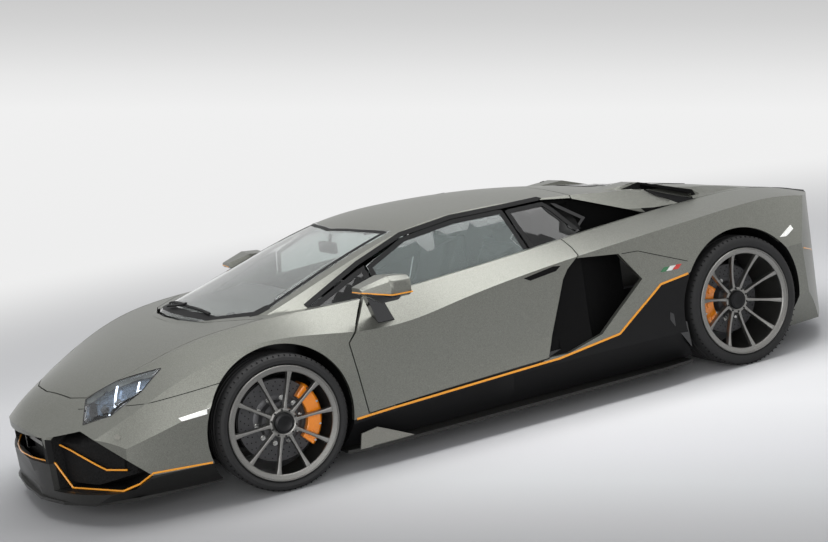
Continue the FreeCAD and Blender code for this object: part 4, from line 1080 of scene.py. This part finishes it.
class SUPERCAR_OT_markers(bpy.types.Operator):
    """Set the side markers, the three-colour band and the parking sensors"""

    bl_idname = "supercar.markers"
    bl_label = "Markers"

    def execute(self, context):
        lay_pair(patch, "front_marker", ["front_bumper", "front_fenders"], "side",
                 [(1.838, 0.472), (1.690, 0.491), (1.690, 0.466), (1.828, 0.457)], "marker",
                 thick=0.003)
        lay_pair(patch, "rear_marker", ["rear_fenders", "rear_bumper"], "side",
                 [(-1.652, 0.651), (-1.752, 0.699), (-1.765, 0.676), (-1.700, 0.647)], "marker",
                 thick=0.003)
        for name, start in (("green", -0.846), ("white", -0.882), ("red_band", -0.918)):
            lay_pair(patch, "flag_band_" + name, ["quarters", "rear_fenders"], "side",
                     [(start, 0.616), (start - 0.028, 0.638), (start - 0.064, 0.636),
                      (start - 0.036, 0.614)], name, thick=0.0006)
        # A round sensor, 24 mm across.
        ring = [(2.107 + x, 0.431 + z) for x, z in around(16, 0.012)]
        lay_pair(patch, "parking_sensor", ["front_bumper"], "side", ring, "edge", thick=0.002)
        return {"FINISHED"}


class SUPERCAR_OT_handles(bpy.types.Operator):
    """Make the door handles"""

    bl_idname = "supercar.handles"
    bl_label = "Door handles"

    def execute(self, context):
        # A near-black patch paints the shade in the handle's recess; a grey lip runs along its top.
        lay_pair(patch, "door_handle_slot", ["door_SIDE"], "side",
                 [(-0.055, 0.741), (-0.231, 0.769), (-0.275, 0.764), (-0.245, 0.742),
                  (-0.092, 0.722)], "dark", "door_SIDE", thick=0.0008)
        lay_pair(ribbon, "door_handle_lip", ["door_SIDE"], "side",
                 [(-0.050, 0.744), (-0.231, 0.773), (-0.281, 0.767)], "edge", "door_SIDE",
                 width=0.005, thick=0.002)
        return {"FINISHED"}


LOUVRES = 5
LOUVRE_START = -0.86
LOUVRE_STEP = 0.15


class SUPERCAR_OT_deck(bpy.types.Operator):
    """Lay the scoop floors, near black as painted shade, and the louvres on the engine lid"""

    bl_idname = "supercar.deck"
    bl_label = "Engine deck"

    def execute(self, context):
        # Near-black patches on the scoop floors paint the shade inside the scoops.
        lay_pair(patch, "scoop_floor", ["engine_lid"], "top",
                 [(-1.02, 0.478), (-1.15, 0.577), (-1.30, 0.622), (-1.376, 0.61),
                  (-1.384, 0.585), (-1.30, 0.562), (-1.10, 0.507)], "dark", "engine_lid")
        for row in range(LOUVRES):
            x = LOUVRE_START - LOUVRE_STEP * row
            lay_pair(patch, "deck_slat_%d" % row, ["engine_lid"], "top",
                     [(x, 0.0), (x - 0.07, 0.20), (x - 0.15, 0.20), (x - 0.08, 0.0)], "gloss",
                     "engine_lid", thick=0.003)
        return {"FINISHED"}


# Flat plates on each side: name, material, thickness across the car and outline.
PLATES = (
    ("skirt_foot", "edge", 0.009,
     [(0.990, 0.980, 0.112), (0.972, 0.978, 0.186), (0.885, 0.980, 0.200), (0.765, 0.985, 0.146),
      (0.70, 0.985, 0.116), (0.886, 0.985, 0.112)]),
    ("duct_frame", "gloss", 0.008,
     [(-0.47, 0.575, 1.047), (-0.50, 0.575, 1.039), (-0.659, 0.60, 0.935), (-0.60, 0.605, 0.884),
      (-0.582, 0.605, 0.888), (-0.632, 0.60, 0.932), (-0.50, 0.575, 1.019)]),
    ("rear_arch_fin", "gloss", 0.028,
     [(-0.867, 0.965, 0.398), (-0.966, 0.965, 0.322), (-0.977, 0.965, 0.182),
      (-0.861, 0.965, 0.356)]),
)
MIRROR_BASE = [(0.672, 0.985, 0.838), (0.885, 0.985, 0.868), (0.80, 0.985, 0.806),
               (0.715, 0.985, 0.806)]
NOSE_STRUT = [(2.349, 0.02, 0.372), (2.332, 0.40, 0.372), (2.332, 0.40, 0.350),
              (2.349, 0.02, 0.350)]


def make_duct_back(side, sign):
    """The near-black wall behind the upper duct, which follows the lid and roof a little below
    them. Its near black is painted shade in the duct.
    """
    across, foot, highest, gap = 0.52 * sign, 0.82, 1.05, 0.012
    cover = surface("engine_lid", "roof")
    stations, first, step = 13, -0.42, 0.05
    top = []
    for k in range(stations):
        x = first - step * k
        hit, _ = drop(cover, (x, across, 0.84), (0, 0, 1))
        top.append((x, across, min(hit.z if hit else 1.0, highest) - gap))
    outline = [(top[-1][0], across, foot)] + top[::-1] + [(top[0][0], across, foot)]
    plate_piece("duct_back_wall_" + side, outline, (0, -0.006 * sign, 0), "dark")


class SUPERCAR_OT_plates(bpy.types.Operator):
    """Fit the mirror feet, and the blades, struts and plates of nose, skirts and ducts"""

    bl_idname = "supercar.plates"
    bl_label = "Plates"

    def execute(self, context):
        for side, sign in SIDES:
            base = bmesh.new()
            slab(base, sided(MIRROR_BASE, sign), (0, 0.11 * sign, 0))
            round_edges(base, base.edges[:], 0.008)
            finish_piece("mirror_base_" + side, base, "gloss", "door_" + side)
            blade = bmesh.new()
            edge = [Vector(point) for point in sided(INTAKE_EDGE, sign)]
            back = Vector((-0.03, -0.03 * sign, -0.012))
            for a, b in zip(edge, edge[1:]):
                slab(blade, [a, b, b + back, a + back], (0, 0, -0.006))
            finish_piece("intake_blade_" + side, blade, "lip", "car", CAST_CREASE)
            strut = bmesh.new()
            block(strut, (2.36, 0.0, 0.345), (0.05, 0.012, 0.09), 0.003)
            slab(strut, sided(NOSE_STRUT, sign), (0.018, 0, 0))
            finish_piece("nose_strut_" + side, strut, "alloy", "car", CAST_CREASE)
            for name, material, thick, outline in PLATES:
                plate_piece("%s_%s" % (name, side), sided(outline, sign), (0, thick * sign, 0),
                            material)
            make_duct_back(side, sign)
        return {"FINISHED"}


class SUPERCAR_OT_wiper(bpy.types.Operator):
    """Lay the wiper on the windscreen"""

    bl_idname = "supercar.wiper"
    bl_label = "Wiper"

    def execute(self, context):
        screen = surface("windscreen")
        ribbon("wiper_blade", screen, [(1.435, 0.36, 1.6), (1.465, 0.10, 1.6),
                                       (1.455, -0.28, 1.6)],
               (0, 0, -1), 0.014, "black", "car", thick=0.008, lift=0.003)
        ribbon("wiper_arm", screen, [(1.508, -0.12, 1.6), (1.490, -0.02, 1.6),
                                     (1.462, 0.06, 1.6)],
               (0, 0, -1), 0.02, "black", "car", thick=0.008, lift=0.012)
        return {"FINISHED"}


class SUPERCAR_OT_cabin_mirror(bpy.types.Operator):
    """Hang the mirror inside the windscreen"""

    bl_idname = "supercar.cabin_mirror"
    bl_label = "Interior mirror"

    def execute(self, context):
        mirror = bmesh.new()
        block(mirror, (0.612, 0.0, 0.985), (0.028, 0.22, 0.062), 0.01)
        rod(mirror, (0.60, 0.0, 0.99), (0.585, 0.0, 1.052), 0.009)
        finish_piece("interior_mirror", mirror, "black", "car", SMOOTH_CREASE)
        return {"FINISHED"}


class SUPERCAR_OT_lamps(bpy.types.Operator):
    """Fit the headlamps and tail lamps"""

    bl_idname = "supercar.lamps"
    bl_label = "Lamps"

    def execute(self, context):
        lens = ["headlamps"]
        lay_pair(patch, "headlamp_bowl", lens, "top",
                 [(2.200, 0.612), (2.142, 0.474), (2.078, 0.506), (2.006, 0.548),
                  (1.824, 0.718), (1.944, 0.760), (2.092, 0.728)], "bowl", lift=-0.034)
        lay_pair(patch, "headlamp_mask", lens, "top",
                 [(2.182, 0.610), (2.140, 0.500), (2.120, 0.508), (2.150, 0.612),
                  (2.075, 0.712), (2.085, 0.722)], "dark", lift=-0.026)
        lay_pair(ribbon, "headlamp_bar_low", lens, "top",
                 [(2.192, 0.604), (2.090, 0.712), (1.950, 0.744)], "white_lamp", width=0.011,
                 lift=-0.016)
        lay_pair(ribbon, "headlamp_bar_middle", lens, "top",
                 [(2.080, 0.716), (2.035, 0.610), (2.010, 0.565)], "white_lamp", width=0.012,
                 lift=-0.018)
        lay_pair(ribbon, "headlamp_bar_rear", lens, "top",
                 [(1.965, 0.738), (1.925, 0.670)], "white_lamp", width=0.010, lift=-0.018)
        lay_pair(ribbon, "headlamp_rim", lens, "top",
                 [(2.206, 0.609), (2.145, 0.470), (2.076, 0.501), (2.006, 0.542),
                  (1.820, 0.720)], "gloss", width=0.006, thick=0.0008)
        lay_pair(ribbon, "headlamp_rim_low", lens, "top",
                 [(2.206, 0.609), (2.094, 0.733), (1.945, 0.765), (1.820, 0.722)], "gloss",
                 width=0.006, thick=0.0008)
        tail = ["tail_lamps"]
        for row, start in enumerate((0.27, 0.37, 0.47)):
            lay_pair(ribbon, "tail_arrow_%d" % row, tail, "back",
                     [(start, 0.636), (start + 0.07, 0.661), (start, 0.686)], "red_lamp",
                     width=0.011, thick=0.0015)
        cover = surface("headlamps")
        for side, sign in SIDES:
            lenses = bmesh.new()
            for x, y in ((2.105, 0.62), (2.045, 0.665)):
                hit, normal = drop(cover, (x, y * sign, 1.6), (0, 0, -1))
                if hit:
                    rod(lenses, hit - normal * 0.034, hit - normal * 0.016, 0.021, 24, 0.018)
            finish_piece("headlamp_lenses_" + side, lenses, "gloss", "car", SMOOTH_CREASE)
        return {"FINISHED"}


class SUPERCAR_OT_exhaust(bpy.types.Operator):
    """Fit the bright rims of the exhaust pipes"""

    bl_idname = "supercar.exhaust"
    bl_label = "Exhaust rims"

    def execute(self, context):
        backward = Matrix.Rotation(math.pi / 2, 4, "Y")
        for side, sign in SIDES:
            pipe = Matrix.Translation((-2.414, 0.07 * sign, 0.4)) @ backward
            rim = lathe([(0.040, 0.002), (0.046, 0.0), (0.0478, 0.004), (0.0478, 0.03),
                         (0.042, 0.03), (0.042, 0.004)], 48, pipe)
            finish_piece("exhaust_rim_" + side, rim, "bright", "car", SMOOTH_CREASE)
        return {"FINISHED"}


# The studio

# Softboxes: name, place, what it points at, length, width and power in watts.
SOFTBOXES = (
    ("roof_softbox", (0.2, 0.5, 4.6), (0.2, 0.2, 0.0), 7.0, 3.2, 236.0),
    ("side_softbox", (3.2, 7.2, 2.6), (0.7, 0.0, 0.5), 6.0, 2.6, 128.0),
    ("low_softbox", (3.4, 5.0, 0.7), (1.5, 0.9, 0.4), 3.0, 0.9, 42.0),
    ("tail_softbox", (-6.5, 2.5, 2.6), (-1.0, 0.0, 0.6), 3.0, 2.0, 16.0),
    ("nose_softbox", (7.5, 0.5, 2.6), (1.5, 0.0, 0.5), 3.0, 2.0, 55.0),
)

# The camera, solved from the photograph: place, yaw, pitch and roll in degrees, focal length in
# pixels of a picture this wide.
CAMERA_PLACE = (3.512, 7.591, 1.953)
CAMERA_TURNS = (-114.04, -8.21, -8.85)
FOCAL_PIXELS = 1496.9
PICTURE_WIDTH = 828
SENSOR_MM = 36

# The floor darkens along its aim over its reach, as painted shade where the studio light falls off,
# and fades into the backdrop far out.
FLOOR_SIZE = 60
FLOOR_AIM = (1.0, 0.7, 0.0)
FLOOR_REACH = 4.0
FADE_START = 2.5
FADE_END = 11.0
FILL_LIGHT = 0.35


def seen_directly(tree):
    """The light path, and 1 for a ray from the camera or off a glossy surface."""
    path = node(tree, "ShaderNodeLightPath")
    seen = node(tree, "ShaderNodeMath", {"operation": "MAXIMUM"},
                {0: path.outputs["Is Camera Ray"], 1: path.outputs["Is Glossy Ray"]})
    return path, seen.outputs[0]


def studio_floor(name):
    # Painted studio cove: matt white emulsion, darkened to grey along the floor's aim as painted
    # shade where the light falls off, that fades into the lit backdrop with distance.
    material, tree, shader = new_material(name, Roughness=0.7)
    where = object_coordinates(tree)
    toward = node(tree, "ShaderNodeVectorMath",
                  {"operation": "DOT_PRODUCT", 1: FLOOR_AIM}, {0: where})
    place = node(tree, "ShaderNodeMath", {"operation": "DIVIDE", 1: FLOOR_REACH},
                 {0: toward.outputs["Value"]})
    light = node(tree, "ShaderNodeValToRGB", {"stops": FLOOR_SHADE_STOPS}, {"Fac": place.outputs[0]})
    tree.links.new(light.outputs[0], shader.inputs["Base Color"])
    away = node(tree, "ShaderNodeVectorMath", {"operation": "LENGTH"}, {0: where})
    fade = node(tree, "ShaderNodeMapRange", {"From Min": FADE_START, "From Max": FADE_END,
                                             "interpolation_type": "SMOOTHSTEP"},
                {"Value": away.outputs["Value"]})
    distant = node(tree, "ShaderNodeEmission", {"Strength": 1.0}, {"Color": backdrop(tree)})
    _, seen = seen_directly(tree)
    amount = node(tree, "ShaderNodeMath", {"operation": "MULTIPLY"},
                  {0: fade.outputs[0], 1: seen})
    blend = node(tree, "ShaderNodeMixShader",
                 links={0: amount.outputs[0], 1: shader.outputs[0], 2: distant.outputs[0]})
    output = [n for n in tree.nodes if n.type == "OUTPUT_MATERIAL"][0]
    tree.links.new(blend.outputs[0], output.inputs["Surface"])
    return material


def studio_world(name):
    """The backdrop as the camera sees it, over a dimmer even light on the car."""
    world = bpy.data.worlds.new(name)
    world.use_nodes = True
    tree = world.node_tree
    tree.nodes.clear()
    wall = node(tree, "ShaderNodeBackground", {"Strength": 1.0}, {"Color": backdrop(tree)})
    lit = node(tree, "ShaderNodeBackground", {"Strength": FILL_LIGHT, "Color": srgb("#e6e9ee")})
    path, seen = seen_directly(tree)
    both = node(tree, "ShaderNodeMath", {"operation": "MAXIMUM"},
                {0: seen, 1: path.outputs["Is Transmission Ray"]})
    mix = node(tree, "ShaderNodeMixShader",
               links={0: both.outputs[0], 1: lit.outputs[0], 2: wall.outputs[0]})
    node(tree, "ShaderNodeOutputWorld", links={"Surface": mix.outputs[0]})
    return world


def softbox(scene, name, place, target, length, width, power):
    """A rectangular studio lamp that points at a place on the car."""
    light = bpy.data.lights.new(name, "AREA")
    light.shape = "RECTANGLE"
    light.size = length
    light.size_y = width
    light.energy = power
    lamp = bpy.data.objects.new(name, light)
    scene.collection.objects.link(lamp)
    lamp.location = place
    aim = Vector(target) - Vector(place)
    lamp.rotation_euler = aim.to_track_quat("-Z", "Y").to_euler()


def studio_camera(scene):
    """The camera, where the photograph was taken from."""
    camera = bpy.data.objects.new("camera", bpy.data.cameras.new("camera"))
    scene.collection.objects.link(camera)
    yaw, pitch, roll = (math.radians(turn) for turn in CAMERA_TURNS)
    view = Vector((math.cos(pitch) * math.cos(yaw), math.cos(pitch) * math.sin(yaw),
                   math.sin(pitch)))
    right = view.cross(Vector((0, 0, 1))).normalized()
    up = right.cross(view)
    right, up = (right * math.cos(roll) + up * math.sin(roll),
                 up * math.cos(roll) - right * math.sin(roll))
    camera.matrix_world = (Matrix.Translation(CAMERA_PLACE)
                           @ Matrix((right, up, -view)).transposed().to_4x4())
    camera.data.sensor_width = SENSOR_MM
    camera.data.lens = FOCAL_PIXELS / PICTURE_WIDTH * SENSOR_MM
    scene.camera = camera


class SUPERCAR_OT_stage(bpy.types.Operator):
    """Make the studio floor, the lamps and the camera"""

    bl_idname = "supercar.stage"
    bl_label = "Studio"

    def execute(self, context):
        scene = context.scene
        scene.view_settings.view_transform = "Standard"
        MATERIALS["floor"] = studio_floor("studio_floor")
        shape = bmesh.new()
        bmesh.ops.create_grid(shape, x_segments=1, y_segments=1, size=FLOOR_SIZE)
        finish_piece("studio_floor", shape, "floor", "car", FLAT_FACES)
        scene.world = studio_world("studio")
        for facts in SOFTBOXES:
            softbox(scene, *facts)
        studio_camera(scene)
        return {"FINISHED"}


class SUPERCAR_PT_panel(bpy.types.Panel):
    """Lists the operators in the sidebar"""

    bl_idname = "SUPERCAR_PT_panel"
    bl_label = "Supercar"
    bl_space_type = "VIEW_3D"
    bl_region_type = "UI"
    bl_category = "Supercar"

    def draw(self, context):
        for name in LooksSettings.__annotations__:
            self.layout.prop(context.scene.supercar_looks, name)
        for step in STEPS:
            self.layout.operator(step.bl_idname)


STEPS = (SUPERCAR_OT_materials, SUPERCAR_OT_body, SUPERCAR_OT_chassis, SUPERCAR_OT_glass,
         SUPERCAR_OT_tyres, SUPERCAR_OT_rims, SUPERCAR_OT_brakes, SUPERCAR_OT_seats,
         SUPERCAR_OT_stripes, SUPERCAR_OT_seams, SUPERCAR_OT_seals, SUPERCAR_OT_markers,
         SUPERCAR_OT_handles, SUPERCAR_OT_deck, SUPERCAR_OT_plates, SUPERCAR_OT_wiper,
         SUPERCAR_OT_cabin_mirror, SUPERCAR_OT_lamps, SUPERCAR_OT_exhaust, SUPERCAR_OT_stage)


def register():
    bpy.utils.register_class(LooksSettings)
    for step in STEPS:
        bpy.utils.register_class(step)
    bpy.utils.register_class(SUPERCAR_PT_panel)
    bpy.types.Scene.supercar_looks = bpy.props.PointerProperty(type=LooksSettings)


def unregister():
    del bpy.types.Scene.supercar_looks
    bpy.utils.unregister_class(SUPERCAR_PT_panel)
    for step in reversed(STEPS):
        bpy.utils.unregister_class(step)
    bpy.utils.unregister_class(LooksSettings)


def main():
    register()
    for step in STEPS:
        space, name = step.bl_idname.split(".")
        getattr(getattr(bpy.ops, space), name)()


if __name__ == "__main__":
    main()
